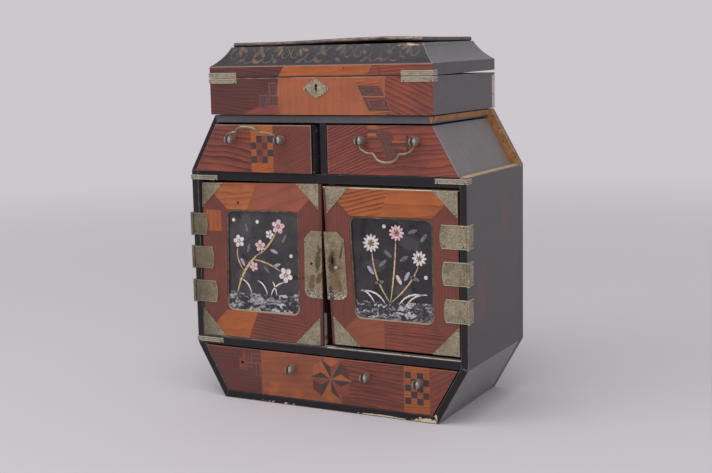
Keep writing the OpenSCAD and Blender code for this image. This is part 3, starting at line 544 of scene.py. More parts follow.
@dataclass(frozen=True)
class Lacquer:
    """Old lacquer, dulled where it was touched.

    Smudges are given as Y, Z and half length; they are on the right side.
    """

    name: str
    shade: Rgb
    worn: Rgb
    rough: float = 0.42
    grime_and_shade: float = 0.0
    smudges: tuple[Place, ...] = ()

    def colour(self, paint: Paint) -> Socket:
        """The lacquer's colour on a given material.

        Args:
            paint: The material.

        Returns:
            The colour.
        """
        cloud = paint.noise(46.0, 3.0, 1.0)
        haze = paint.noise((9.0, 9.0, 30.0), 3.0, 2.0)
        scratch = paint.noise((60.0, 60.0, 0.5), 2.0, 4.0).ramp(0.66, 0.74) * 0.22
        colour = paint.layers(scaled(self.shade, 0.80), (haze, self.shade), (cloud.ramp(0.56, 0.80) * 0.55, self.worn),
                              (scratch, scaled(self.shade, 2.2)))
        # Painted shade: the lacquer gets darker towards the bottom.
        if self.grime_and_shade:
            colour = paint.mix(paint.z.ramp(190.0, 40.0) * self.grime_and_shade, colour, tone(36, 34, 36))
        for y, z, size in self.smudges:
            depth = paint.depth(y, z, size, size * 0.45, 84.0, paint.y).held() * paint.x.above(0.0)
            colour = paint.mix(depth * 0.34, colour, tone(124, 76, 70))
        return colour

    def material(self) -> bpy.types.Material:
        """Builds the material.

        Returns:
            The material.
        """
        paint = Paint(self.name)
        rub = paint.noise(14.0, 4.0, 3.0)
        return paint.finish(self.colour(paint), rub * 0.2 + (self.rough - 0.1),
                            bump=paint.noise((3.0, 20.0, 3.0), 3.0, 5.0), height=0.06, gloss=0.34)


@dataclass(frozen=True)
class WornEdge:
    """The rubbed edge of a lacquered board."""

    name: str
    shade: Rgb

    def material(self) -> bpy.types.Material:
        """Builds the material.

        Returns:
            The material.
        """
        paint = Paint(self.name)
        rub = paint.noise(9.0, 4.0, 1.0, 0.65).ramp(0.515, 0.70)
        chip = paint.noise(3.2, 4.0, 2.0, 0.7).ramp(0.66, 0.70)
        colour = paint.layers(self.shade, (rub, scaled(self.shade, 1.9, 0.02)), (chip * 0.9, Wood.PALE.value[0]))
        return paint.finish(colour, 0.45, gloss=0.4)


@dataclass(frozen=True)
class BareWood:
    """Unfinished wood."""

    name: str = "plain_wood"

    def material(self) -> bpy.types.Material:
        """Builds the material.

        Returns:
            The material.
        """
        paint = Paint(self.name)
        fibre = paint.noise((26.0, 1.2, 1.2), 4.0, 1.0)
        cloud = paint.noise(22.0, 3.0, 2.0)
        colour = paint.mix((fibre - 0.25 + (cloud - 0.5)).held(), *Wood.PALE.value)
        return paint.finish(colour, 0.75, bump=fibre, height=0.15, gloss=0.25)


@dataclass(frozen=True)
class Blot:
    """A stain of the front view, with a ragged edge."""

    x: float
    z: float
    long: float
    wide: float
    turn: float
    shade: Rgb
    strength: float = 0.8

    def layer(self, paint: Paint, ragged: Field) -> Layer:
        """The stain as a layer; noise tears its edge."""
        depth = paint.depth(self.x, self.z, self.long, self.wide, self.turn) + (ragged - 0.5) * 3.0
        return depth.ramp(0.0, 0.5) * self.strength, self.shade


@dataclass(frozen=True)
class EngravedMetal:
    """Thin white metal plate, chased all over and tarnished.

    Bands are strips with pale folded rims, as side, lowest and highest Z; a
    side of 0 means both. Holes are ovals of the front view.
    """

    name: str
    metal: Metal
    chased: float = 1.1
    stain: float = 0.35
    dim_left: float = 0.0
    blots: tuple[Blot, ...] = ()
    bands: tuple[Place, ...] = ()
    hole_shades: tuple[tuple[float, ...], ...] = ()
    rim: float = 0.9
    line: float = 1.5

    def rims(self, paint: Paint) -> Iterator[Layer]:
        """The bands' pale rims, with a dark line inside each.

        Args:
            paint: The material.

        Yields:
            The layers.
        """
        for side, low, high in self.bands:
            depth = (high - low) / 2 - (paint.z - (low + high) / 2).size()
            here = (paint.x * side).above(0.0) if side else 1.0
            yield depth.within(self.rim, self.line) * here * 0.6, self.metal.value[1]
            yield depth.within(-0.2, self.rim) * here * 0.5, tone(214, 202, 182)

    def material(self) -> bpy.types.Material:
        """Builds the material.

        Returns:
            The material.
        """
        paint = Paint(self.name)
        clean, dull = self.metal.value
        curls, _ = paint.cells(self.chased * 2.2, 1.0)
        dots, _ = paint.cells(self.chased, 2.0)
        marks = (curls.ramp(0.25, 0.5) * 0.6 + dots.ramp(0.45, 0.2) * 0.5).held()
        cloud = paint.noise(9.0, 4.0, 3.0, 0.6)
        blot = paint.noise(17.0, 5.0, 4.0, 0.65).ramp(0.66 - self.stain * 0.4, 0.78 - self.stain * 0.3)
        specks = paint.noise(1.5, 2.0, 7.0, 0.6).ramp(0.52, 0.62)
        behind = paint.x.size().within(153.5, 161.0) * 0.35 + 0.45
        colour = paint.layers(clean, ((marks * 0.42 + (cloud - 0.42) * 0.9).held(), dull), (blot * self.stain, dull),
                              (specks * behind, tone(92, 86, 66)), *self.rims(paint),
                              *((paint.oval(*hole), tone(10, 8, 7)) for hole in self.hole_shades))
        if self.dim_left:
            colour = paint.mix(paint.x.ramp(-131.0, -148.0) * self.dim_left, colour, dull)
        if self.blots:
            ragged = paint.noise(5.0, 4.0, 5.0, 0.65)
            glint = paint.noise(1.8, 3.0, 6.0, 0.7).ramp(0.53, 0.57) * paint.z.ramp(132.0, 126.0)
            colour = paint.layers(colour, *(one.layer(paint, ragged) for one in self.blots),
                                  (glint * 0.8, tone(225, 222, 218)))
        return paint.finish(colour, cloud * 0.25 + 0.36, 0.55, bump=marks, height=0.16)


@dataclass(frozen=True)
class RubbedMetal:
    """Cast white metal, rubbed bright where fingers reach."""

    name: str
    metal: Metal
    rough: float = 0.34
    pitted: float = 0.08

    def material(self) -> bpy.types.Material:
        """Builds the material.

        Returns:
            The material.
        """
        paint = Paint(self.name)
        cloud = paint.noise(4.5, 4.0, 1.0, 0.6)
        colour = paint.mix((cloud - 0.4).held() * 1.5, *self.metal.value)
        return paint.finish(colour, cloud * 0.3 + (self.rough - 0.12), 0.75,
                            bump=paint.noise(1.2, 3.0, 2.0), height=self.pitted)


@dataclass(frozen=True)
class Pearl:
    """Mother-of-pearl, ground thin, with a tint of its own."""

    shell: Shell

    @property
    def name(self) -> str:
        """The material's name."""
        return f"pearl_{self.shell.name.lower()}"

    def material(self) -> bpy.types.Material:
        """Builds the material.

        Returns:
            The material.
        """
        paint = Paint(self.name)
        sheen = paint.mix(paint.noise(2.4, 3.0, 1.0, 0.6).ramp(0.38, 0.64), *self.shell.value)
        worn = paint.noise(3.2, 4.0, 2.0, 0.65).ramp(0.60, 0.68)
        return paint.finish(paint.mix(worn * 0.7, sheen, tone(60, 52, 50)), 0.25, coat=0.4, gloss=0.7)


@dataclass(frozen=True)
class PanelLacquer:
    """Black lacquer of a door panel, over a ground of crushed shell up to a height."""

    name: str
    ground: float
    seed: float
    blots: tuple[Blot, ...]
    dim: float
    back: float = -76.4

    def shards(self, paint: Paint) -> Colour:
        """The ground of crushed shell, in warped and tinted shards with dark joints.

        Args:
            paint: The material.

        Returns:
            The colour.
        """
        bend, bow = paint.noise(8.0, 2.0, self.seed + 7.0), paint.noise(6.0, 2.0, self.seed + 8.0)
        at = paint.vector((paint.x + bend * 20.0) / 8.2, self.seed, (paint.z + bow * 16.0) / 4.4)
        _, tint = paint.cells(1.0, at=at)
        rim, _ = paint.cells(1.0, feature="DISTANCE_TO_EDGE", at=at)
        streak = paint.noise((6.0, 3.0, 2.2), 3.0, self.seed + 4.0, 0.6)
        tinted = paint.noise(7.0, 2.0, self.seed + 5.0).ramp(0.60, 0.66)
        return paint.layers(tone(48, 47, 54),
                            ((Field(paint, tint) * 1.0 + (streak - 0.5) * 1.5).ramp(0.40, 0.86), tone(184, 180, 184)),
                            (tinted * 0.3, tone(158, 140, 182)), (rim.below(0.05), tone(34, 32, 38)))

    def material(self) -> bpy.types.Material:
        """Builds the material.

        Returns:
            The material.
        """
        paint = Paint(self.name)
        haze = paint.noise(24.0, 4.0, self.seed + 1.0, 0.6)
        ragged = paint.noise(7.0, 4.0, self.seed + 9.0, 0.65)
        blot = paint.noise(12.0, 4.0, self.seed + 2.0, 0.6).ramp(0.62, 0.65) * paint.z.above(self.ground + 6.0)
        wave = paint.noise((22.0, 22.0, 60.0), 1.0, self.seed + 6.0)
        colour = paint.layers(
            scaled(tone(46, 44, 48), self.dim), (haze.ramp(0.38, 0.66), scaled(tone(68, 64, 68), self.dim)),
            *(one.layer(paint, ragged) for one in self.blots), (blot * 0.85, tone(16, 14, 16)),
            ((paint.z + wave * 9.0).below(self.ground + 4.0), self.shards(paint)),
            (paint.y.above(self.back), tone(44, 41, 43)))
        return paint.finish(colour, 0.3, bump=haze, height=0.05, gloss=0.45)


@dataclass(frozen=True)
class DullBead:
    """Tarnished bead round a panel, rubbed paler at its foot."""

    name: str = "dull_bead"
    low: float = 101.0

    def material(self) -> bpy.types.Material:
        """Builds the material.

        Returns:
            The material.
        """
        paint = Paint(self.name)
        rub = paint.noise(7.0, 4.0, 1.0, 0.6)
        pale = (paint.z.ramp(self.low + 14.0, self.low) + (rub - 0.55)).held()
        colour = paint.layers(tone(72, 64, 52), (rub.ramp(0.4, 0.65), tone(104, 92, 74)), (pale, tone(166, 150, 126)))
        return paint.finish(colour, 0.5, 0.25, bump=rub, height=0.08, gloss=0.4)


@dataclass(frozen=True)
class Broken:
    """Lacquered board with bare, torn wood where another board came away.

    In front of a given Y the lacquer is black.
    """

    name: str
    lacquer: Lacquer
    bare: Callable[[Paint], Field]
    wood: Wood = Wood.OCHRE
    front: Optional[float] = None

    def material(self) -> bpy.types.Material:
        """Builds the material.

        Returns:
            The material.
        """
        paint = Paint(self.name)
        fibre = paint.noise((2.0, 14.0, 2.0), 4.0, 1.0)
        cloud = paint.noise(12.0, 4.0, 2.0, 0.6)
        light, dark = self.wood.value
        raw = paint.layers(light, ((fibre - 0.36 + (cloud - 0.5) * 2.0).held(), dark),
                           (paint.noise(7.0, 4.0, 8.0, 0.65).ramp(0.58, 0.66) * 0.65, tone(62, 44, 32)),
                           (paint.noise(4.0, 4.0, 9.0, 0.65).ramp(0.62, 0.66) * 0.55, tone(208, 186, 154)))
        bare = self.bare(paint)
        colour = self.lacquer.colour(paint)
        if self.front is not None:
            colour = paint.mix(paint.y.below(self.front), colour, BLACK.colour(paint))
        return paint.finish(paint.mix(bare, colour, raw), bare * 0.3 + 0.44, bump=fibre, height=0.12, gloss=0.35)


# The bench

DOUBLES = 0.002  # corners nearer than this are one
FLAT = 0.6       # degrees; flatter edges melt away
SHARP = 38.0     # degrees; sharper edges are rounded


class Finish(Protocol):
    """Anything that a material can be built from."""

    name: str

    def material(self) -> bpy.types.Material:
        """Builds the material."""


def ramp(value: float, low: float, high: float) -> float:
    """Straight rise from 0 at low to 1 at high."""
    return max(0.0, min(1.0, (value - low) / (high - low)))


def pick(thing: Optional[Thing] = None) -> None:
    """Deselects all, because an operator acts on all that is selected, and then selects one object.

    Args:
        thing: The object, or None to select nothing.
    """
    bpy.ops.object.select_all(action="DESELECT")
    if thing is not None:
        thing.select_set(True)
        bpy.context.view_layer.objects.active = thing


@contextmanager
def editing(thing: Thing) -> Iterator[None]:
    """Works on one object in edit mode, with all of it selected, until the block ends.

    Args:
        thing: The object.

    Yields:
        Nothing; edit mode ends with the block.
    """
    pick(thing)
    bpy.ops.object.mode_set(mode="EDIT")
    bpy.ops.mesh.select_all(action="SELECT")
    yield
    bpy.ops.object.mode_set(mode="OBJECT")


def cleaned(thing: Thing) -> None:
    """Merges doubles, melts flat neighbours together and turns faces outwards.

    Args:
        thing: The object.
    """
    with editing(thing):
        bpy.ops.mesh.remove_doubles(threshold=DOUBLES * MM)
        bpy.ops.mesh.dissolve_limited(angle_limit=math.radians(FLAT))
        bpy.ops.mesh.normals_make_consistent(inside=False)


def smooth(thing: Thing, degrees: float = 32.0) -> None:
    """Shades an object smooth, apart from edges sharper than an angle.

    Args:
        thing: The object.
        degrees: Edges sharper than this stay sharp.
    """
    pick(thing)
    bpy.ops.object.shade_smooth_by_angle(angle=math.radians(degrees))
    modifier = thing.modifiers.new("flat_faces", "WEIGHTED_NORMAL")
    modifier.keep_sharp = True
    bpy.ops.object.modifier_apply(modifier=modifier.name)


def bevelled(thing: Thing, width: float, segments: int = 2, edge_slot: int = -1) -> None:
    """Rounds the sharp edges of an object.

    Args:
        thing: The object.
        width: Width of the rounding.
        segments: Number of steps across it.
        edge_slot: Material slot of the rounded faces, or -1 for that of their neighbours.
    """
    pick(thing)
    modifier = thing.modifiers.new("rounding", "BEVEL")
    modifier.width = width * MM
    modifier.segments = segments
    modifier.limit_method = "ANGLE"
    modifier.angle_limit = math.radians(SHARP)
    modifier.material = edge_slot
    modifier.use_clamp_overlap = True
    bpy.ops.object.modifier_apply(modifier=modifier.name)


def settled(name: str) -> Thing:
    """Names the object just made and applies its place, so that its mesh holds it.

    Args:
        name: The object's name.

    Returns:
        The object.
    """
    thing = bpy.context.active_object
    thing.name = name
    pick(thing)
    bpy.ops.object.transform_apply(location=True, rotation=True, scale=True)
    return thing


def linked(name: str, data: Union[bpy.types.Mesh, bpy.types.Light, bpy.types.Camera]) -> Thing:
    """Makes an object of some data and puts it in the scene.

    Args:
        name: The object's name.
        data: Its mesh, lamp or camera.

    Returns:
        The object.
    """
    thing = bpy.data.objects.new(name, data)
    bpy.context.scene.collection.objects.link(thing)
    return thing


@dataclass
class Workshop:
    """Hands out materials and puts finished pieces on their bodies."""

    shelf: dict[str, bpy.types.Material] = field(default_factory=dict)

    def stock(self, finish: Finish) -> bpy.types.Material:
        """Returns the material of a finish, and builds it the first time.

        Args:
            finish: The finish.

        Returns:
            The material.
        """
        if finish.name not in self.shelf:
            self.shelf[finish.name] = finish.material()
        return self.shelf[finish.name]

    def place(self, piece: Thing, body: str, slot: str, stands_for: Sequence[str] = ()) -> Thing:
        """Puts a finished piece on its body.

        Args:
            piece: The piece.
            body: Body that it rides on.
            slot: Material slot of the record.
            stands_for: Solids that it replaces.

        Returns:
            The piece.
        """
        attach(piece, body)
        if stands_for:
            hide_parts(*stands_for)
        LOG.info("%s: %d faces on %s", piece.name, len(piece.data.polygons), body)
        return piece


WORKSHOP = Workshop()


@dataclass
class Assembly:
    """A group of pieces that ride on one body."""

    body: str = "case"

    def refined(self, node: str, slot: str, face: Finish, width: float, edge: Optional[Finish] = None,
                shape: Optional[Callable[[Thing], None]] = None) -> Thing:
        """Copies a solid, rounds its edges and lets the copy stand for it.

        Args:
            node: The solid.
            slot: Material slot of the record.
            face: Finish of the faces.
            width: Width of the rounding, or 0 for none.
            edge: Finish of the rounded edges, or None for that of the faces.
            shape: Further work on the copy, before the rounding.

        Returns:
            The new piece.
        """
        piece = linked(node + ".worn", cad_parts[node].data.copy())
        piece.data.materials.clear()
        for finish in (face, edge):
            if finish:
                piece.data.materials.append(WORKSHOP.stock(finish))
        cleaned(piece)
        if shape:
            shape(piece)
        if width:
            bevelled(piece, width, 2, 1 if edge else -1)
        smooth(piece)
        return WORKSHOP.place(piece, self.body, slot, [node])

    def fitting(self, node: str, finish: Finish, nailed: Sequence[Place] = (), width: float = 0.12) -> None:
        """Refines sheet-metal fittings and nails their faces in some directions.

        Args:
            node: The solid.
            finish: The finish.
            nailed: Directions of the faces that get nails.
            width: Width of the rounding.
        """
        plate = self.refined(node, "fitting_metal", finish, width)
        if nailed:
            Nailing().drive(plate, self.body, nailed)


def islands(thing: Thing) -> list[list[Vector]]:
    """Sorts the corners of a mesh by connected piece.

    Args:
        thing: The object.

    Returns:
        The corners of each piece, in millimetres.
    """
    leader = list(range(len(thing.data.vertices)))

    def head(number: int) -> int:
        """Follows a corner to the first one of its piece.

        Args:
            number: The corner's number.

        Returns:
            Number of the first corner.
        """
        while leader[number] != number:
            leader[number] = leader[leader[number]]
            number = leader[number]
        return number

    for edge in thing.data.edges:
        first, second = (head(number) for number in edge.vertices)
        leader[max(first, second)] = min(first, second)
    pieces: dict[int, list[Vector]] = {}
    for corner in thing.data.vertices:
        pieces.setdefault(head(corner.index), []).append(corner.co / MM)
    return list(pieces.values())


@dataclass(frozen=True)
class Nailing:
    """Nails near the corners of sheet-metal fittings."""

    inset: float = 3.2
    radius: float = 0.75
    sunk: float = 0.1
    least: float = 4.0

    def face(self, points: Sequence[Vector], outward: Vector) -> list[Vector]:
        """Finds the foremost flat face that is wide enough for nails.

        Args:
            points: Corners of the fitting.
            outward: Direction that the face looks in.

        Returns:
            The face's corners, or nothing.
        """
        for reach in sorted({round(point.dot(outward), 1) for point in points}, reverse=True):
            wide = [point for point in points if abs(point.dot(outward) - reach) < 0.06]
            spans = [max(p[i] for p in wide) - min(p[i] for p in wide) for i in range(3)] if wide else [0.0] * 3
            if sorted(spans)[1] > self.least:
                return wide
        return []

    def corners(self, face: Sequence[Vector], outward: Vector) -> list[Vector]:
        """Finds the places of the nails on one face, which looks outward.

        Args:
            face: Corners of the face.
            outward: Direction that it looks in.

        Returns:
            The places.
        """
        middle = sum(face, Vector()) / len(face)
        across = Vector((0.0, 0.0, 1.0)).cross(outward)
        found: list[Vector] = []
        for side in (-1.0, 1.0):
            for rise in (-1.0, 1.0):
                far = max(face, key=lambda point: side * point.dot(across) + rise * point.z)
                if all((far - other).length > 2.0 * self.inset for other in found):
                    found.append(far)
        high = max(p.z for p in face) - min(p.z for p in face)
        return [far + (middle - far).normalized() * min(self.inset, high / 2.4) * 1.25 for far in found]

    def drive(self, plate: Thing, body: str, directions: Sequence[Place]) -> None:
        """Drives nails through every piece of a node.

        Args:
            plate: The fittings.
            body: Body that they ride on.
            directions: Directions that their faces look in.
        """
        places: list[tuple[Vector, Vector]] = []
        for piece in islands(plate):
            middle = sum(piece, Vector()) / len(piece)
            for outward in map(Vector, directions):
                face = self.face(piece, outward)
                if face and (outward.y < -0.5 or middle.x * outward.x > 0.0):
                    places += [(place, outward) for place in self.corners(face, outward)]
        if not places:
            return
        name = plate.name.split(".")[0] + ".nails"
        nails = linked(name, bpy.data.meshes.new(name))
        with editing(nails):
            for place, outward in places:
                bpy.ops.mesh.select_all(action="DESELECT")
                bpy.ops.mesh.primitive_uv_sphere_add(
                    segments=10, ring_count=6, radius=self.radius * MM,
                    location=(place - outward * self.sunk) * MM,
                    rotation=outward.to_track_quat("Z", "Y").to_euler(), scale=(1.0, 1.0, 0.6))
        smooth(nails, 60.0)
        nails.data.materials.append(WORKSHOP.stock(NAILS))
        WORKSHOP.place(nails, body, "fitting_metal")


FRONT = ((0.0, -1.0, 0.0),)
FRONT_AND_SIDES = (*FRONT, (1.0, 0.0, 0.0), (-1.0, 0.0, 0.0))


# Finishes

BLACK = Lacquer("black_lacquer", tone(23, 21, 24), tone(42, 35, 34))
# Painted sheen: the side boards' grey stands for the bright surroundings seen in their black lacquer. Its shade share
# adds painted shade low down; the smudges are stains.
SIDE = Lacquer("side_lacquer", tone(84, 79, 82), tone(102, 78, 76), grime_and_shade=0.2,
               smudges=((27.0, 207.6, 26.0), (-42.0, 128.0, 44.0)))
# Painted sheen: the box sides' grey stands for the bright surroundings seen in their black lacquer.
BOX_SIDE = Lacquer("box_side_lacquer", tone(94, 90, 92), tone(92, 76, 68), 0.5)
TRAY = Lacquer("tray_grey", tone(122, 118, 118), tone(130, 116, 110), 0.62)
COVE = Lacquer("cove_lacquer", tone(46, 43, 49), tone(60, 52, 50))
# Painted light: the foot boards are a paler grey than the side boards, for the light that they catch.
FOOT = Lacquer("foot_grey", tone(130, 126, 128), tone(146, 136, 130), 0.5)
TOP_RAIL = Lacquer("top_rail_grey", tone(95, 90, 97), tone(118, 108, 106), 0.4)
RIM_SIDE = Lacquer("rim_side_lacquer", tone(66, 62, 65), tone(76, 66, 62), 0.5)
COVE_SIDE = Lacquer("cove_side_grey", tone(98, 94, 96), tone(112, 102, 98), 0.5)
EDGE = WornEdge("rubbed_black_edge", tone(42, 40, 43))
# Painted sheen: the side boards' grey, with real rubbing and chips over it.
SIDE_EDGE = WornEdge("rubbed_side_edge", tone(84, 79, 82))
PLAIN = BareWood()
PLATES = EngravedMetal("chased_plate", Metal.PLATE, dim_left=0.55)
NAILS = RubbedMetal("old_nail", Metal.NAIL, 0.5)
# Of these blots, the near-black hole on the left plate and the widened keyhole on the right plate are painted shade;
# the rest are stains.
LOCK_PLATES = EngravedMetal("stained_plate", Metal.STAINED, 1.1, 0.4, blots=(
    Blot(13.0, 152.0, 34.0, 9.0, 92.0, tone(112, 90, 58), 0.4),
    Blot(-6.0, 163.0, 15.0, 3.6, 84.0, tone(76, 60, 36)), Blot(-15.0, 134.0, 13.0, 4.0, 76.0, tone(104, 84, 50)),
    Blot(-4.5, 143.0, 9.0, 3.0, 60.0, tone(92, 74, 46)), Blot(-14.2, 157.0, 1.7, 1.5, 0.0, tone(20, 16, 14), 1.0),
    Blot(10.6, 160.0, 13.0, 4.6, 94.0, tone(66, 50, 32)), Blot(15.4, 140.0, 15.0, 2.6, 86.0, tone(128, 98, 52)),
    Blot(21.4, 169.0, 8.0, 1.8, 80.0, tone(70, 46, 34)), Blot(9.0, 127.0, 8.0, 3.6, 100.0, tone(34, 28, 26), 0.9),
    Blot(20.0, 134.0, 11.0, 2.6, 96.0, tone(110, 88, 56)), Blot(11.1, 161.6, 4.8, 2.0, 90.0, tone(12, 9, 8), 1.0)))
# Its keyhole is painted near-black, as painted shade inside the hole.
KEYHOLE_PLATE = EngravedMetal("keyhole_plate", Metal.STRAP, 0.9, 0.3, hole_shades=(
    (0.3, 342.4, 1.8, 1.8), (0.3, 339.2, 3.2, 0.9, 90.0)))
STRAPS = EngravedMetal("chased_strap", Metal.STRAP, 0.9, 0.3, bands=(
    (0.0, 61.4, 66.4), (-1.0, 242.0, 247.0), (1.0, 245.5, 250.5), (0.0, 345.7, 350.7), (0.0, 351.7, 356.9)))
HINGES = EngravedMetal("chased_hinge", Metal.PLATE, 1.1, 0.46, dim_left=0.6, bands=(
    (0.0, 106.4, 130.4), (0.0, 144.2, 168.2), (0.0, 181.0, 205.0)))
BAILS = RubbedMetal("rubbed_bail", Metal.BAIL)
BOSSES = RubbedMetal("rubbed_boss", Metal.BOSS, 0.5, 0.3)


@dataclass(frozen=True)
class Checker:
    """A column of inlaid squares, four to a row."""

    x0: float
    x1: float
    z0: float
    z1: float
    rows: int = 4
    columns: int = 4

    @property
    def square(self) -> Point:
        """Width and height of one square."""
        return (self.x1 - self.x0) / self.columns, (self.z1 - self.z0) / self.rows

    def cell(self, paint: Paint, column: int, row: int) -> Field:
        """1 in one square, counted from the lower left corner.

        Args:
            paint: The material.
            column: Column of the square, from the left.
            row: Row of the square, from below.

        Returns:
            The mask.
        """
        wide, high = self.square
        x, z = self.x0 + column * wide, self.z0 + row * high
        return paint.box(x, z, x + wide, z + high)

    def dark(self, paint: Paint) -> Field:
        """1 in every dark square.

        Args:
            paint: The material.

        Returns:
            The mask.
        """
        wide, high = self.square
        number = ((paint.x - self.x0) / wide).whole() + ((paint.z - self.z0) / high).whole()
        return ((number + 1.0) * 0.5).part().above(0.25) * paint.box(self.x0, self.z0, self.x1, self.z1)


@dataclass(frozen=True)
class Star:
    """A six-pointed star of light and dark facets, with diamonds between its tips."""

    x: float = 5.6
    z: float = 33.8
    tip: float = 25.4
    valley: float = 13.6

    def layers(self, paint: Paint) -> list[Layer]:
        """The star's layers over the veneer below.

        Args:
            paint: The material.

        Returns:
            The result.
        """
        step = math.radians(60.0)
        dx, dz = paint.x - self.x, paint.z - self.z
        radius = (dx * dx + dz * dz) ** 0.5
        angle = paint.math("ARCTAN2", dz, dx) / step + 6.0
        sector = (angle + 0.5).whole()
        local = (angle - sector) * step
        flank = local.size()
        slope = self.valley * math.sin(step / 2) / (self.tip - self.valley * math.cos(step / 2))
        along = radius * paint.math("COSINE", flank)
        aside = radius * paint.math("SINE", flank)
        star = (along * slope + aside).below(self.tip * slope)
        ring = along.below(self.tip * math.cos(step / 2)) * radius.below(self.tip * 0.985)
        gap = angle.whole() - 6.0
        diamonds = ((0, Wood.PLUM, 8.0), (1, Wood.ORANGE, 0.0), (2, Wood.HONEY, 40.0),
                    (-3, Wood.PLUM, 60.0), (-2, Wood.ORANGE, 5.0), (-1, Wood.RED, -40.0))
        light = paint.mix((sector * 0.5).part().above(0.25), Facet(Wood.ORANGE, 35.0), Facet(Wood.RED, -20.0))
        blade = paint.mix(local.below(0.0), light, Facet(Wood.EBONY, 10.0))
        return [*(((gap - number).size().below(0.25) * ring, Facet(wood, turn)) for number, wood, turn in diamonds),
                (star, blade), ((flank * radius).below(0.28) * star * 0.8, Wood.HONEY.value[0])]


@dataclass(frozen=True)
class Veneer:
    """Parquetry under thin old wax.

    Behind its face, which lies at a place along Y, the core shows; without
    such a place it is veneer all over.
    """

    name: str
    face: Optional[float] = None
    core: Rgb = Wood.PLUM.value[1]

    def pattern(self, paint: Paint) -> Colour:
        """The parquetry's colour on a given material."""
        raise NotImplementedError

    def heart(self, paint: Paint) -> Colour:
        """Colour of the wood behind the veneer."""
        return self.core

    def material(self) -> bpy.types.Material:
        """Builds the material.

        Returns:
            The material.
        """
        paint = Paint(self.name)
        rub = paint.noise(18.0, 4.0, 9.0)
        # Grime in noise patches.
        grime_and_shade = paint.noise(30.0, 4.0, 12.0, 0.6).ramp(0.55, 0.8) * 0.35
        colour = paint.layers(self.pattern(paint), (grime_and_shade, tone(80, 54, 50)),
                              (paint.z.ramp(150.0, 0.0) * 0.16, tone(58, 36, 34)))
        if self.face is not None:
            colour = paint.mix(paint.y.above(self.face + 0.7), colour, self.heart(paint))
        return paint.finish(colour, rub * 0.22 + 0.30, coat=0.08,
                            bump=paint.noise((12.0, 12.0, 1.2), 3.0, 10.0), height=0.05, gloss=0.45)


class BoxVeneer(Veneer):
    """Parquetry of the top box's front."""

    def pattern(self, paint: Paint) -> Colour:
        """The parquetry's colour on a given material.

        Args:
            paint: The material.

        Returns:
            The colour.
        """
        slate, rim = Sheet(Wood.SLATE, 90.0, 2.6, 1.0, 5.0), Sheet(Wood.RED, 0.0, 4.0, 1.0, 6.0)
        lean = (0.478, 347.6)
        return paint.layers(
            Sheet(Wood.PLUM, -6.0, 3.4, 6.0, 1.0, stain=tone(92, 34, 24), strength=0.2),
            ((paint.x - (paint.z - 350.0) * 0.12).above(-45.0), Sheet(Wood.HONEY, 90.0, 9.0, 4.0, 2.0, 0.25)),
            (paint.inside([(-90, 313), (-44, 313), (-44, 321), (-62, 322), (-74, 320)], 1.5),
             Sheet(Wood.RED, 12.0, 6.0, 3.0, 4.0, 0.3)),
            (paint.x.above(78.0), Sheet(Wood.RED, -24.0, 5.0, 3.0, 3.0)),
            (paint.bars([(-57.2, 331.8, -47.0, 346.2), (-69.0, 319.6, -58.4, 333.6),
                         (-57.4, 321.6, -45.4, 331.8)]), rim),
            (paint.bars([(-55.6, 333.0, -48.6, 345.0), (-67.2, 321.0, -60.0, 332.4),
                         (-55.9, 323.0, -47.4, 330.6)]), slate),
            (paint.bars([(44.3, 314.6, 70.2, 347.6)], *lean), Sheet(Wood.ORANGE, 6.0, 3.0, 1.0, 7.0)),
            (paint.bars([(45.0, 332.0, 69.5, 342.0), (45.0, 317.0, 69.5, 330.4)], *lean), slate),
            (paint.bars([(47.2, 338.4, 58.0, 340.2), (47.2, 334.0, 49.2, 340.2), (51.2, 333.6, 60.6, 335.6),
                         (62.4, 333.6, 64.6, 340.4), (60.0, 338.4, 64.6, 340.4), (66.6, 334.0, 68.6, 341.0),
                         (47.4, 326.6, 62.0, 328.6), (47.4, 319.0, 49.6, 326.8), (51.8, 322.4, 64.6, 324.4),
                         (64.6, 322.4, 66.8, 329.4), (51.8, 318.4, 68.0, 320.4)], *lean), rim),
            (paint.z.above(350.3) * paint.noise((14.0, 4.0, 4.0), 3.0, 8.0).ramp(0.36, 0.60) * 0.7,
             tone(184, 152, 136)))


class RimVeneer(Veneer):
    """Parquetry of the lid's rim, which a light line crowns."""

    def pattern(self, paint: Paint) -> Colour:
        """The parquetry's colour on a given material.

        Args:
            paint: The material.

        Returns:
            The colour.
        """
        rise = paint.z - 353.0
        return paint.layers(
            Sheet(Wood.PLUM, -5.0, 3.0, 6.0, 1.0),
            ((paint.x - rise * 0.67).above(-44.5), Sheet(Wood.ORANGE, 8.0, 9.0, 3.0, 2.0, 0.35)),
            ((paint.x - rise * 0.65).above(58.0), Sheet(Wood.RED, 2.0, 3.4, 2.0, 3.0)),
            (paint.z.above(362.5), tone(166, 120, 100)), (paint.z.below(352.7) * 0.85, tone(38, 22, 20)),
            (paint.oval(32.1, 360.0, 0.9, 0.7), tone(20, 12, 10)),
            (paint.box(71.2, 352.7, 74.0, 360.6) * 0.6, tone(104, 40, 28)),
            (1.0 - paint.y.below(-84.9), RIM_SIDE.colour(paint)))


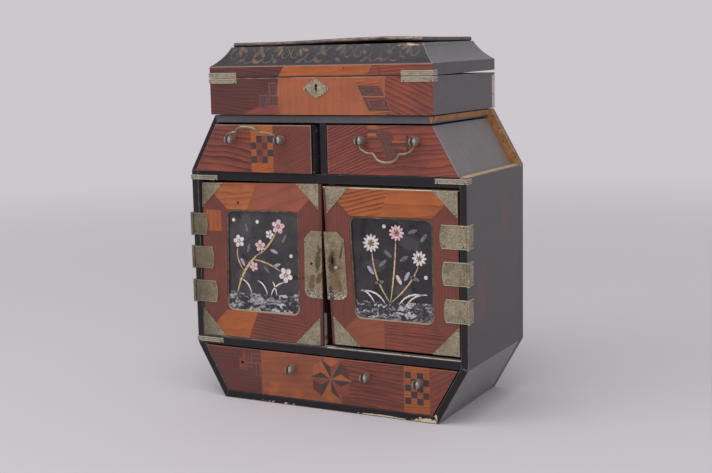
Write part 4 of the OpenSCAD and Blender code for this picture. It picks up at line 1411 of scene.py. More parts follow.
class LeftDrawerVeneer(Veneer):
    """Parquetry of the left small drawer."""

    def pattern(self, paint: Paint) -> Colour:
        """The parquetry's colour on a given material.

        Args:
            paint: The material.

        Returns:
            The colour.
        """
        checker = Checker(-80.8, -53.7, 262.0, 290.9)
        lip = paint.z.above(301.2).most(paint.x.above(-8.7) * 0.6)
        return paint.layers(
            Sheet(Wood.RED, -7.0, 6.4, 7.0, 1.0, 1.0, Wood.PLUM.value[1], 0.12),
            (paint.x.above(-53.7), Sheet(Wood.RED, 24.0, 2.5, 1.0, 2.0, 1.2, strength=0.36)),
            (paint.box(-80.8, 240.0, -53.7, 310.0), Sheet(Wood.ORANGE, 14.0, 3.6, 2.0, 3.0, 0.4)),
            (paint.box(-74.0, 262.0, -60.4, 290.6), Sheet(Wood.RED, 60.0, 3.0, 1.0, 4.0, 0.3)),
            (checker.dark(paint), Sheet(Wood.EBONY, 80.0, 2.8, 1.0, 5.0, 0.4)),
            (checker.cell(paint, 2, 2).most(checker.cell(paint, 1, 1)), Sheet(Wood.PLUM, 10.0, 2.8, 1.0, 6.0, 0.4)),
            (lip * 0.75, tone(152, 122, 112)))


class RightDrawerVeneer(Veneer):
    """Parquetry of the right small drawer."""

    def pattern(self, paint: Paint) -> Colour:
        """The parquetry's colour on a given material.

        Args:
            paint: The material.

        Returns:
            The colour.
        """
        slate, orange = Sheet(Wood.SLATE, 0.0, 2.6, 1.0, 3.0), Sheet(Wood.ORANGE, 0.0, 4.0, 1.0, 4.0, 0.3)
        lean = (0.44, 303.0)
        lip = paint.z.above(302.0).most(paint.x.below(8.7) * 0.6)
        return paint.layers(
            Sheet(Wood.RED, 22.0, 3.1, 1.2, 1.0, 1.1),
            (paint.inside([(55.0, 240), (190, 240), (190, 310), (57.0, 310)]),
             Sheet(Wood.RED, 5.0, 5.6, 6.0, 2.0, 0.75)),
            (paint.bars([(54.5, 298.6, 66.5, 302.4), (54.5, 290.6, 66.0, 294.6)]), orange),
            (paint.bars([(54.5, 295.0, 66.5, 298.2), (54.5, 287.6, 66.5, 290.2)]), slate),
            (paint.bars([(60.0, 268.0, 78.0, 296.0)], *lean), Sheet(Wood.RUSSET, 66.0, 3.0, 1.0, 5.0, 0.3)),
            (paint.bars([(62.6, 270.0, 65.0, 297.0), (67.2, 268.0, 69.6, 299.0),
                         (71.8, 268.0, 74.0, 297.0)], *lean), slate),
            (paint.bars([(82.0, 285.4, 99.0, 287.2)]), orange),
            (paint.bars([(80.0, 281.8, 98.0, 284.8), (97.6, 273.0, 100.4, 293.0), (84.0, 275.6, 95.0, 278.4)]),
             Sheet(Wood.PLUM, 0.0, 3.0, 1.0, 6.0)),
            (lip * 0.75, tone(152, 122, 112)))


class LongDrawerVeneer(Veneer):
    """Parquetry of the long foot drawer, with its star."""

    def pattern(self, paint: Paint) -> Colour:
        """The parquetry's colour on a given material.

        Args:
            paint: The material.

        Returns:
            The colour.
        """
        warm = paint.noise(16.0, 2.0, 5.0).ramp(0.45, 0.62) * paint.box(-80.8, 0.0, -20.0, 24.0)
        streaks = paint.noise((60.0, 40.0, 5.0), 2.0, 11.0).ramp(0.44, 0.60) * 0.6
        return paint.layers(
            Sheet(Wood.PLUM, 2.0, 3.0, 2.5, 1.0, 0.6, Wood.RED.value[0], 0.12),
            (paint.x.above(-80.8), Sheet(Wood.HONEY, 4.0, 8.0, 4.0, 2.0, 0.3, Wood.RUSSET.value[1], 0.22)),
            (warm, Wood.ORANGE.value[0]),
            (paint.x.above(18.0), paint.mix(streaks, Sheet(Wood.RED, -3.0, 4.6, 6.0, 3.0), tone(78, 48, 38))),
            (paint.x.above(120.0), Sheet(Wood.RED, 30.0, 5.0, 3.0, 4.0, 0.5, tone(84, 50, 40), 0.25)),
            (paint.box(91.0, 0.0, 120.0, 60.0), Sheet(Wood.ORANGE, 5.0, 3.2, 2.0, 5.0, 0.5)),
            (Checker(92.4, 119.6, 17.6, 51.6, 5).dark(paint), Sheet(Wood.EBONY, 85.0, 2.8, 1.0, 6.0, 0.4)),
            *Star().layers(paint),
            (paint.bars([(-105.0, 36.0, -80.6, 53.6), (-92.0, 27.6, -81.2, 42.0), (-109.0, 33.0, -98.0, 47.0)]),
             Sheet(Wood.RED, 0.0, 4.0, 1.0, 7.0, 0.2)),
            (paint.bars([(-100.6, 42.6, -98.2, 54.0), (-96.8, 42.6, -94.4, 54.0), (-92.6, 49.0, -80.8, 51.4),
                         (-92.6, 44.0, -80.8, 46.4), (-100.4, 38.6, -91.4, 40.8), (-100.4, 34.4, -94.0, 36.6),
                         (-91.0, 28.0, -88.4, 41.4), (-86.4, 28.0, -83.8, 41.4), (-88.6, 22.8, -80.6, 25.0)]),
             Sheet(Wood.SLATE, 90.0, 2.6, 1.0, 8.0)),
            (paint.z.above(56.6) * 0.6, tone(150, 100, 84)))


class InnerDrawerVeneer(Veneer):
    """Inner drawer with a veneered front and a plain wooden tray."""

    def pattern(self, paint: Paint) -> Colour:
        """The veneer, which is one sheet."""
        return Sheet(Wood.RUSSET, 2.0, 5.0, 8.0, 1.0, 0.8, Wood.HONEY.value[0], 0.35)

    def heart(self, paint: Paint) -> Colour:
        """Colour of the tray."""
        fibre = paint.noise((3.0, 30.0, 1.6), 4.0, 2.0)
        return paint.mix((fibre - 0.2).held(), tone(172, 140, 106), tone(128, 98, 72))


@dataclass(frozen=True)
class DoorVeneer(Veneer):
    """Parquetry of a door's frame: two rails between two stiles."""

    door: Optional["Door"] = None

    def rail(self, paint: Paint, first: Point, second: Point, far: float) -> Field:
        """1 on a rail, mitred outwards from two corners of the opening."""
        return paint.inside([first, (first[0] + far, first[1] + far), (second[0] - far, second[1] + far), second])

    def pattern(self, paint: Paint) -> Colour:
        """The parquetry's colour on a given material.

        Args:
            paint: The material.

        Returns:
            The colour.
        """
        left = self.door.side is Side.LEFT
        low_left, top_left, top_right, low_right = self.door.opening
        rails = self.rail(paint, top_right, top_left, 60.0), self.rail(paint, low_left, low_right, -60.0)
        colour = paint.layers(Sheet(Wood.RUSSET, 90.0, 3.2, 2.0, 1.0 if left else 6.0, 0.5),
                              *(self.left if left else self.right)(paint, *rails),
                              (paint.inside(self.door.lip), Sheet(Wood.PLUM, 88.0, 2.0, 1.0, 9.0, 0.3)))
        # The right door's upper end gets a painted highlight.
        return colour if left else paint.mix(self.highlit_top(paint), colour, tone(214, 196, 180))

    def left(self, paint: Paint, top: Field, low: Field) -> list[Layer]:
        """What lies over the left door's stiles; top and low are its rails.

        Args:
            paint: The material.
            top: 1 on the upper rail.
            low: 1 on the lower rail.

        Returns:
            The layers.
        """
        smear = paint.depth(-20.0, 142.0, 21.0, 2.4, 14.0) + (paint.noise(4.0, 3.0, 14.0) - 0.5) * 3.0
        return [
            (top, paint.mix((paint.x + (240.0 - paint.z) * 0.46).above(-79.6),
                            Sheet(Wood.ORANGE, 4.0, 7.0, 3.0, 2.0, 0.8, tone(196, 120, 72), 0.2),
                            Sheet(Wood.RED, 18.0, 14.0, 3.0, 3.0, 0.6, tone(172, 98, 66), 0.35))),
            (low, paint.mix((paint.x + (95.0 - paint.z) * 0.42).above(-84.5),
                            Sheet(Wood.ORANGE, 10.0, 12.0, 3.0, 4.0, 0.25),
                            Sheet(Wood.RED, -5.0, 3.6, 1.4, 5.0, 0.9, tone(84, 46, 36), 0.25))),
            (paint.box(-146.0, 186.0, -126.0, 209.0) * 0.8, Sheet(Wood.ORANGE, 90.0, 6.0, 3.0, 7.0, 0.5)),
            (smear.ramp(0.0, 0.5) * 0.55, tone(58, 26, 22)),
            (paint.oval(-103.6, 218.0, 1.549, 1.549), tone(30, 18, 16))]

    def right(self, paint: Paint, top: Field, low: Field) -> list[Layer]:
        """What lies over the right door's stiles; top and low are its rails.

        Args:
            paint: The material.
            top: 1 on the upper rail.
            low: 1 on the lower rail.

        Returns:
            The layers.
        """
        return [
            (top, paint.mix((paint.x + (238.0 - paint.z) * 0.30).above(75.7),
                            Sheet(Wood.ORANGE, 13.0, 4.6, 1.6, 2.0, 1.0),
                            Sheet(Wood.ORANGE, 2.0, 13.0, 3.0, 3.0, 0.6))),
            (low, paint.mix(paint.x.above(69.8),
                            Sheet(Wood.HONEY, 14.0, 9.0, 3.0, 4.0, 0.35, tone(122, 62, 42), 0.45),
                            Sheet(Wood.RED, -2.0, 3.4, 3.4, 5.0, 0.9))),
            # Painted shade: a near-black oval on the frame behind the lock plate's keyhole.
            (paint.oval(11.0, 161.5, 6.0, 3.0, 90.0), tone(14, 10, 10))]

    def highlit_top(self, paint: Paint) -> Field:
        """1 on the frame's upper end."""
        return paint.z.above(self.door.top - 0.75)

    def heart(self, paint: Paint) -> Colour:
        """Colour of the frame behind the veneer, rubbed pale in one place.

        Args:
            paint: The material.

        Returns:
            The colour.
        """
        # Painted shade: the frame's edges turn near-black deeper in, where the gap between the doors is in shade.
        core = paint.mix(paint.y.above(-75.5), Wood.RUSSET.value[1], tone(34, 30, 32))
        if self.door.side is Side.RIGHT:
            # Painted highlight on the right door's upper end.
            return paint.mix(self.highlit_top(paint), core, tone(226, 208, 192))
        pale = paint.z.below(104.0) * paint.y.within(-76.5, -71.0) * paint.noise(6.0, 3.0, 13.0).ramp(0.3, 0.5)
        return paint.mix(pale, core, tone(176, 168, 158))


@dataclass(frozen=True)
class VineLacquer:
    """Lacquer of the lid's cove, with a faded gold vine along its front."""

    name: str = "vine_lacquer"
    half_width: float = 130.0
    front: float = -85.6
    level: float = 374.0
    repeat: float = 74.0
    reach: float = 112.0

    def vine(self, paint: Paint) -> Field:
        """1 on the vine's scrolls and leaves, which mirror and repeat.

        Args:
            paint: The material.

        Returns:
            The mask.
        """
        shifted = (paint.x + 37.0 + 5.0 * self.repeat) / self.repeat
        u = ((shifted.part() - 0.5) * self.repeat).size()
        scrolls = ((13.0, -1.4, 9.6, 0.85, 1.2, 1.0, 0.30), (30.5, 1.0, 6.6, 0.9, 1.1, -1.0, 0.75))
        leaves = ((1.0, 5.4, 5.6, 2.0, 118.0), (3.8, 1.0, 4.2, 1.8, 150.0), (1.6, -6.6, 6.0, 1.7, 28.0),
                  (21.4, 6.8, 6.0, 2.1, 30.0), (24.6, 2.8, 4.4, 1.8, 64.0), (22.4, -6.2, 4.8, 1.8, -36.0))
        return reduce(Field.most, [
            draw(x, self.level + z, *shape, across=u)
            for draw, rows in ((paint.scroll, scrolls), (paint.oval, leaves)) for x, z, *shape in rows])

    def material(self) -> bpy.types.Material:
        """Builds the material.

        Returns:
            The material.
        """
        paint = Paint(self.name)
        faded = paint.noise(8.0, 4.0, 5.0, 0.65).ramp(0.30, 0.62)
        gone = paint.noise((34.0, 10.0, 16.0), 2.0, 7.0).ramp(0.36, 0.50)
        outside = (paint.y - self.front - (paint.z - 363.4) * 0.88).below(3.8)
        here = outside * paint.x.size().below(self.reach) * paint.z.within(365.8, 384.0)
        torn = (paint.noise((9.0, 4.0, 2.4), 4.0, 9.0, 0.65).ramp(0.48, 0.56) * 0.9 * outside
                * paint.z.above(380.8) * paint.x.within(84.0, 113.0))
        past_hip = (paint.y - self.front) - (self.half_width - paint.x.size())
        colour = paint.layers(
            COVE.colour(paint), (self.vine(paint) * faded * gone * here * 0.58, tone(136, 108, 80)),
            (torn, tone(192, 164, 136)), (past_hip.above(0.0), COVE_SIDE.colour(paint)),
            (past_hip.size().below(0.7) * 0.5, tone(150, 140, 136)),
            (paint.z.below(363.7) * 0.6, tone(150, 118, 104)))
        return paint.finish(colour, 0.38, bump=paint.noise((30.0, 30.0, 1.0), 3.0, 8.0), height=0.05, gloss=0.4)


# The case

@dataclass
class Case(Assembly):
    """Eight-sided carcass with its shelves and fittings.

    It holds the Y behind which a board's side shows, the Y in front of which
    the back panel is bare, the height from which the right side board is
    bare, and the width of a rubbed edge.
    """

    front: float = -79.1
    strip: float = 77.5
    knee: float = 251.9
    edge: float = 0.55

    def build(self) -> None:
        """Builds every piece of the case."""
        sides = Broken("side_board_lacquer", SIDE, self.bare_top_end, Wood.PALE, self.front)
        for node, face, edge, width in (
                ("upper_shelf", BLACK, EDGE, self.edge), ("upper_divider", BLACK, EDGE, self.edge),
                ("lower_shelf", Broken("lower_shelf_lacquer", BLACK, self.rubbed_top, Wood.GREYED), EDGE, self.edge),
                ("case_top_board", Broken("top_board_lacquer", TOP_RAIL, self.torn_end), EDGE, self.edge),
                ("case_bottom_board", Broken("bottom_board_lacquer", BLACK, self.chipped_corner, Wood.CREAM),
                 EDGE, 0.7),
                ("case_foot_boards", Broken("foot_lacquer", FOOT, self.split_foot, Wood.CREAM, self.front),
                 SIDE_EDGE, self.edge),
                ("case_side_boards", sides, SIDE_EDGE, self.edge),
                ("case_left_shoulder_board", sides, SIDE_EDGE, self.edge)):
            self.refined(node, "black_lacquer", face, width, edge)
        self.refined("case_back_panel", "grey_lacquer", Broken("back_panel_lacquer", SIDE, self.bare_strip),
                     self.edge, SIDE_EDGE)
        self.refined("inner_drawer_case", "raw_wood", PLAIN, 0.3)
        self.fitting("corner_straps", STRAPS, FRONT_AND_SIDES)
        self.fitting("door_hinge_case_leaves", HINGES, FRONT_AND_SIDES)
        self.fitting("lid_hinge_box_leaves", PLATES)
        for pins in ("door_hinge_pins", "lid_hinge_pins"):
            self.fitting(pins, PLATES, width=0.0)

    def torn_end(self, paint: Paint) -> Field:
        """Bare end of the top board, with a ragged edge, and three chips of its front edge.

        Args:
            paint: The material.

        Returns:
            The mask.
        """
        ragged = paint.noise(5.0, 4.0, 3.0, 0.6) * 3.0
        front_loss = paint.y.ramp(-74.0, -80.0) * 2.6
        torn = (paint.x + ragged + front_loss + (paint.z - 304.0) * 0.375).above(129.2)
        for chip in ((-104.7, 306.1, 1.7, 0.5), (-74.9, 306.3, 1.2, 0.5), (60.1, 310.7, 1.7, 0.5)):
            torn = torn.most((paint.depth(*chip) + (ragged - 1.5)).above(0.0) * paint.y.below(-78.0))
        return torn

    def rubbed_top(self, paint: Paint) -> Field:
        """Front of the lower shelf's top, rubbed bare below the right door.

        Args:
            paint: The material.

        Returns:
            The mask.
        """
        ragged = paint.noise((22.0, 6.0, 3.0), 4.0, 7.0, 0.6)
        rise = (paint.z - 67.5) * 0.9
        return (ragged + rise - paint.x.below(2.0) * 0.75).above(0.42) * paint.y.below(-74.0)

    def chipped_corner(self, paint: Paint) -> Field:
        """Chips along the bottom board's front edge, most of them at its right end.

        Args:
            paint: The material.

        Returns:
            The mask.
        """
        ragged = (paint.noise(5.0, 4.0, 3.0, 0.65) - 0.5) * 7.0
        chips = reduce(Field.most, [paint.depth(*shape) * share for share, *shape in (
            (1.0, 118.0, 0.0, 19.0, 5.6), (1.0, 66.0, 1.0, 29.0, 1.3), (0.9, 92.0, 9.8, 38.0, 0.8),
            (0.06, -54.0, 1.2, 22.0, 1.0))])
        return (chips * 3.0 + ragged).above(0.6) * paint.y.below(-70.0)

    def split_foot(self, paint: Paint) -> Field:
        """Torn sliver at the lower end of the right sloping board.

        Args:
            paint: The material.

        Returns:
            The mask.
        """
        ragged = (paint.noise(3.0, 4.0, 4.0, 0.6) - 0.5) * 2.0
        sliver = paint.inside([(121.0, 0.0), (131.0, 0.0), (126.6, 12.0), (131.4, 27.0), (125.0, 14.0)])
        torn = paint.depth(125.0, 4.0, 6.5, 3.4, 80.0) * 2.0 + ragged
        return torn.above(0.4).most(sliver) * paint.y.below(-78.0)

    def bare_top_end(self, paint: Paint) -> Field:
        """Bare upper end of the right side board."""
        ragged = paint.noise(6.0, 4.0, 3.0, 0.6) * 1.2
        return (paint.z + ragged).above(self.knee) * paint.x.above(0.0)

    def bare_strip(self, paint: Paint) -> Field:
        """Bare front face of the back panel beside the right drawer."""
        ragged = paint.noise(7.0, 4.0, 5.0, 0.6) * 1.6
        return (paint.y + ragged * 2.6).below(self.strip) * paint.x.above(20.0) * paint.z.above(self.knee - 1.9)


@dataclass
class TopBox(Assembly):
    """Box that stands on the case, below the lid."""

    half_width: float = 130.0

    def build(self) -> None:
        """Builds every piece of the box."""
        self.refined("box_front_board", "parquetry", BoxVeneer("box_veneer", -85.4, BOX_SIDE.shade), 0.45)
        self.refined("box_side_boards", "grey_lacquer", BOX_SIDE, 0.4, SIDE_EDGE)
        self.refined("box_rear_board", "grey_lacquer",
                     Broken("rear_board_lacquer", BOX_SIDE, self.end_grain, Wood.GREYED), 0.4)
        self.refined("box_floor_board", "raw_wood", PLAIN, 0.3)
        self.fitting("box_keyhole_plate", KEYHOLE_PLATE, width=0.1)
        self.fitting("box_lock_case", PLATES, width=0.2)

    def end_grain(self, paint: Paint) -> Field:
        """Bare ends of the rear board, dark at the top and with one old nail.

        Args:
            paint: The material.

        Returns:
            The mask.
        """
        ragged = paint.noise(5.0, 3.0, 2.0) * 6.0
        nail = paint.oval(76.6, 327.0, 1.0, 1.0, across=paint.y)
        return paint.x.size().above(self.half_width - 0.6) * (paint.z + ragged).below(351.0) * (1.0 - nail)


@dataclass
class Lid(Assembly):
    """Coved lid with a warped top board.

    The board swells over one stretch of X and sinks over another, by a share
    of its lift. That lift dies away to the back, the sooner the more curl the
    board has. The board is seated on the cove, and tilted up to the back.
    """

    body: str = "lid"
    half_width: float = 111.4
    front: float = -66.9
    rear: float = 61.1
    thick: float = 4.6
    seat: float = 383.38
    tilt: float = 0.0151
    lift: float = 2.5
    curl: float = 1.3
    swell: Point = (-70.0, 64.0)
    sink: Point = (70.0, 112.0)
    sunk: float = 0.62

    def build(self) -> None:
        """Builds every piece of the lid."""
        self.refined("lid_rim_boards", "parquetry", RimVeneer("rim_veneer"), 0.4)
        self.refined("lid_cove_mouldings", "black_lacquer", VineLacquer(), 0.0)
        self.warped_board()
        self.fitting("lid_lock_staple", PLATES, width=0.1)
        for node in ("lid_corner_straps", "lid_hinge_lid_leaves"):
            self.fitting(node, STRAPS)

    def bow(self, rise: Number, fall: Number) -> Number:
        """Share of the lift at a place, from how far it has swollen and sunk."""
        return (3.0 - 2.0 * rise) * rise * rise - self.sunk * fall * fall

    def warp(self, x: float, y: float) -> float:
        """Height of the top board's underside at one place.

        Args:
            x: Place to the right.
            y: Place to the back.

        Returns:
            The height.
        """
        bow = self.bow(ramp(x, *self.swell), ramp(x, *self.sink))
        near = 1.0 - ramp(y, self.front, self.rear)
        return self.seat + self.tilt * (y - self.front) + self.lift * bow * near ** self.curl

    def warped_board(self) -> None:
        """Builds the top board, which has warped and lifted off the cove."""
        pick()
        bpy.ops.mesh.primitive_cube_add(
            size=1.0, location=(0.0, (self.front + self.rear) / 2 * MM, 0.0),
            scale=(2 * self.half_width * MM, (self.rear - self.front) * MM, self.thick * MM))
        board = settled("lid_top_board.warped")
        bevelled(board, 1.9, 4)
        with editing(board):
            for axis, low, high, steps in ((0, -self.half_width, self.half_width, 24), (1, self.front, self.rear, 12)):
                for step in range(1, steps):
                    bpy.ops.mesh.select_all(action="SELECT")
                    place, facing = [0.0] * 3, [0.0] * 3
                    place[axis], facing[axis] = (low + (high - low) * step / steps) * MM, 1.0
                    bpy.ops.mesh.bisect(plane_co=place, plane_no=facing)
        for corner in board.data.vertices:
            x, y, z = corner.co / MM
            corner.co.z = (self.warp(x, y) + self.thick / 2 + z) * MM
        board.data.materials.append(WORKSHOP.stock(Broken("top_board_rim", BLACK, self.worn_rim, Wood.RUBBED)))
        smooth(board, 40.0)
        WORKSHOP.place(board, self.body, "black_lacquer", ["lid_top_board"])

    def worn_rim(self, paint: Paint) -> Field:
        """Front edge of the top board, rubbed down to red-brown wood.

        Args:
            paint: The material.

        Returns:
            The mask.
        """
        ragged = paint.noise((18.0, 3.0, 1.4), 4.0, 3.0, 0.65)
        bow = self.bow(paint.x.ramp(*self.swell), paint.x.ramp(*self.sink))
        rim = paint.y.ramp(-64.5, -66.6).most(paint.x.ramp(109.8, 111.3) * 0.4)
        # Painted shade: the lower part of the edge stays black.
        upper = (paint.z - self.lift * bow).ramp(384.5, 385.9)
        return (rim * ragged.ramp(0.36, 0.56) * paint.x.ramp(-120.0, 60.0).most(0.55) * upper).held()


# The doors

@dataclass(frozen=True)
class Sliver:
    """A thin piece of shell that follows a curve and tapers to both ends."""

    shell: Shell
    start: Point
    bend: Point
    end: Point
    width: float

    def at(self, share: float) -> tuple[Vector, Vector]:
        """Place and sideways direction at a share of the length.

        Args:
            share: Share of the length.

        Returns:
            The place and the direction.
        """
        start, bend, end = (Vector(point) for point in (self.start, self.bend, self.end))
        place = (1 - share) ** 2 * start + 2 * share * (1 - share) * bend + share ** 2 * end
        heading = ((1 - share) * (bend - start) + share * (end - bend)).normalized()
        return place, Vector((-heading.y, heading.x))


@dataclass
class PearlPicture:
    """Flowers of thin shell, let into a door panel.

    Places are measured from the panel's middle, to the right and upwards.
    """

    body: str
    middle: Point
    face: float = -77.3
    thick: float = 0.25
    corners: int = 14
    slivers: list[Sliver] = field(default_factory=list)

    def strip(self, shell: Shell, start: Point, bend: Point, end: Point, width: float) -> None:
        """Adds a curved sliver."""
        self.slivers.append(Sliver(shell, start, bend, end, width))

    def oval(self, shell: Shell, x: float, z: float, long: float, wide: float, turn: float = 0.0) -> None:
        """Adds a straight, leaf-shaped piece, given by its middle, half sizes and direction."""
        dx, dz = long * math.cos(math.radians(turn)), long * math.sin(math.radians(turn))
        self.strip(shell, (x - dx, z - dz), (x, z), (x + dx, z + dz), wide)

    def blossom(self, shell: Shell, heart: Shell, x: float, z: float, radius: float, petals: int,
                turn: float = 0.0) -> None:
        """Adds a flower with its petals round a heart.

        Args:
            shell: Tint of the petals.
            heart: Tint of the middle.
            x: Middle, to the right.
            z: Middle, upwards.
            radius: Radius of the flower.
            petals: Number of petals.
            turn: Direction of the first petal.
        """
        wide = max(radius * 0.5 * math.sin(math.pi / petals) * 1.15, 0.5)
        for number in range(petals):
            angle = math.radians(turn + 360.0 * number / petals)
            self.oval(shell, x + radius * 0.62 * math.cos(angle), z + radius * 0.62 * math.sin(angle),
                      radius * 0.38, wide, math.degrees(angle))
        self.oval(heart, x, z, radius * 0.2, radius * 0.2)

    def plum_branch(self) -> None:
        """A flowering branch that rises from the left, with grass below it."""
        for row in (((-34, -36), (-27, -8), (-6, 8), 1.3), ((-7, 7), (8, 15), (17, 33), 1.0),
                    ((-24, -12), (-35, 0), (-32, 14), 0.7), ((-12, 2), (8, 0), (22, -10), 0.8)):
            self.strip(Shell.GOLD, *row)
        for shell, x, z, radius, turn in ((Shell.ROSE, 20, 39, 8.0, 10), (Shell.WHITE, -30, 21, 7.0, 30),
                                          (Shell.WHITE, 28, -13, 8.5, 50), (Shell.ROSE, -3, 17, 6.5, 20),
                                          (Shell.WHITE, 9, 30, 5.0, 0), (Shell.ROSE, -12, -6, 5.5, 40)):
            self.blossom(shell, Shell.GOLD, x, z, radius, 5, turn)
        for shell, x, z, turn in ((Shell.DIM, -18, 14, 70), (Shell.VIOLET, 14, 12, -20), (Shell.DIM, 4, -8, -50),
                                  (Shell.VIOLET, -26, -2, 120), (Shell.DIM, 27, 26, 60), (Shell.DIM, -20, 36, 100),
                                  (Shell.VIOLET, 17, -3, 20)):
            self.oval(shell, x, z, 5.0, 1.7, turn)
        for foot, bend, tip in ((4, 2, -8), (9, 12, 26), (16, 14, 11), (-16, -18, -27)):
            self.strip(Shell.WHITE, (foot, -36), (bend, -24), (tip, -21), 0.8)
        for x, z in ((-36, 44), (-6, 43), (35, 8)):
            self.oval(Shell.WHITE, x, z, 2.0, 2.0)

    def chrysanthemums(self) -> None:
        """Three tall flowers on bent stems, with blades of grass."""
        for bend, tip in (((-24, -10), (-24, 18)), ((2, 0), (3, 30)), ((22, -14), (28, 6))):
            self.strip(Shell.GOLD, (-4, -35), bend, tip, 0.8)
        for shell, x, z, radius, petals in ((Shell.WHITE, -25, 26, 9.5, 12), (Shell.ROSE, 4, 38, 8.5, 11),
                                            (Shell.WHITE, 29, 13, 8.0, 10)):
            self.blossom(shell, Shell.GOLD, x, z, radius, petals)
            self.blossom(Shell.GOLD, Shell.ROSE, x, z, radius * 0.4, 6, 15.0)
        for shell, x, z, turn in ((Shell.DIM, -12, 6, 40), (Shell.VIOLET, -26, -2, 130), (Shell.DIM, 12, 12, 30),
                                  (Shell.DIM, -6, 16, 140), (Shell.VIOLET, 15, -6, 60), (Shell.DIM, 24, -8, -20),
                                  (Shell.DIM, -16, -14, 10), (Shell.ROSE, 6, -10, 120), (Shell.DIM, 34, 34, 50),
                                  (Shell.DIM, 22, 40, 20)):
            self.oval(shell, x, z, 5.5, 2.0, turn)
        for foot, bend, tip in ((-22, -30, -38), (6, 14, 34), (14, 24, 38), (-10, -18, -36)):
            self.strip(Shell.WHITE, (foot, -36), (bend, -22), (tip, -24), 0.9)
        for x, z in ((-10, 44), (36, -6)):
            self.oval(Shell.WHITE, x, z, 2.0, 2.0)

    def lay(self) -> None:
        """Cuts the pieces of each tint and lays them on the panel."""
        for shell in Shell:
            chosen = [sliver for sliver in self.slivers if sliver.shell is shell]
            if not chosen:
                continue
            name = f"{self.body}_pearl.{shell.name.lower()}"
            piece = linked(name, bpy.data.meshes.new(name))
            with editing(piece):
                for _ in chosen:
                    bpy.ops.mesh.select_all(action="DESELECT")
                    bpy.ops.mesh.primitive_cylinder_add(vertices=self.corners, radius=1.0, depth=1.0)
            each = 2 * self.corners
            for number, sliver in enumerate(chosen):
                for corner in piece.data.vertices[each * number:each * (number + 1)]:
                    angle = math.atan2(corner.co.y, corner.co.x)
                    place, sideways = sliver.at((1.0 - math.cos(angle)) / 2)
                    spot = place + sideways * math.sin(angle) * sliver.width
                    depth = self.face - self.thick if corner.co.z > 0 else self.face + self.thick
                    corner.co = Vector((self.middle[0] + spot.x, depth, self.middle[1] + spot.y)) * MM
            with editing(piece):
                bpy.ops.mesh.normals_make_consistent(inside=False)
            piece.data.materials.append(WORKSHOP.stock(Pearl(shell)))
            WORKSHOP.place(piece, self.body, "panel_lacquer")


@dataclass(frozen=True)
class Door:
    """Panelled door with its fittings.

    It holds the corners of the panel's opening, those of the free stile's
    lip, the height of its upper end, how dim its panel is and the panel's
    stains.
    """

    side: Side
    opening: tuple[Point, ...]
    lip: tuple[Point, ...]
    top: float
    dim: float
    wear: tuple[Blot, ...]

    def build(self) -> None:
        """Builds every piece of the door."""
        body = f"{self.side.value}_door"
        door = Assembly(body)
        low = min(z for _, z in self.opening)
        middle = tuple(sum(corner[i] for corner in self.opening) / 4 for i in range(2))
        door.refined(f"{body}_frame", "parquetry", DoorVeneer(f"{body}_veneer", -79.5, door=self), 0.5)
        door.refined(f"{body}_lacquer_panel", "panel_lacquer",
                     PanelLacquer(f"{body}_panel", low + 22.0, low, self.wear, self.dim), 0.0)
        door.refined(f"{body}_panel_moulding", "panel_bead", DullBead(), 0.3)
        for part, finish in (("corner_plates", PLATES), ("hinge_leaves", HINGES), ("lock_plate", LOCK_PLATES)):
            door.fitting(f"{body}_{part}", finish, FRONT)
        picture = PearlPicture(body, middle)
        (picture.plum_branch if self.side is Side.LEFT else picture.chrysanthemums)()
        picture.lay()
        if self.side is Side.RIGHT:
            door.refined("right_door_knob", "bright_metal", BOSSES, 0.0)
            door.fitting("right_door_lock_case", PLATES, width=0.3)


DOORS = (
    Door(Side.LEFT, ((-122.0, 99.2), (-118.2, 210.6), (-28.9, 211.1), (-32.1, 98.8)),
         ((-5.4, 69.0), (-2.4, 69.0), (-0.6, 242.0), (-3.6, 242.0)), 241.5, 1.0,
         (Blot(-97.0, 193.0, 13.0, 9.0, 80.0, tone(84, 81, 85), 0.5),
          Blot(-102.0, 138.0, 11.0, 8.0, 0.0, tone(86, 83, 87), 0.5),
          Blot(-39.0, 139.4, 13.0, 3.0, 8.0, tone(14, 12, 12), 0.9))),
    Door(Side.RIGHT, ((36.7, 102.7), (32.7, 209.7), (124.5, 210.8), (127.2, 101.1)),
         ((9.2, 72.0), (12.2, 72.0), (4.5, 239.0), (1.5, 239.0)), 238.7, 0.58,
         (Blot(47.0, 198.0, 15.0, 4.0, 80.0, tone(14, 12, 12), 0.9),
          Blot(79.6, 199.4, 8.0, 5.0, 30.0, tone(14, 12, 12), 0.9),
          Blot(97.0, 184.6, 15.0, 8.0, -20.0, tone(96, 92, 94), 0.28),
          Blot(59.3, 158.9, 13.0, 7.0, 0.0, tone(86, 84, 88), 0.4),
          Blot(91.4, 133.3, 12.0, 7.0, 0.0, tone(90, 87, 90), 0.35))))


# The drawers

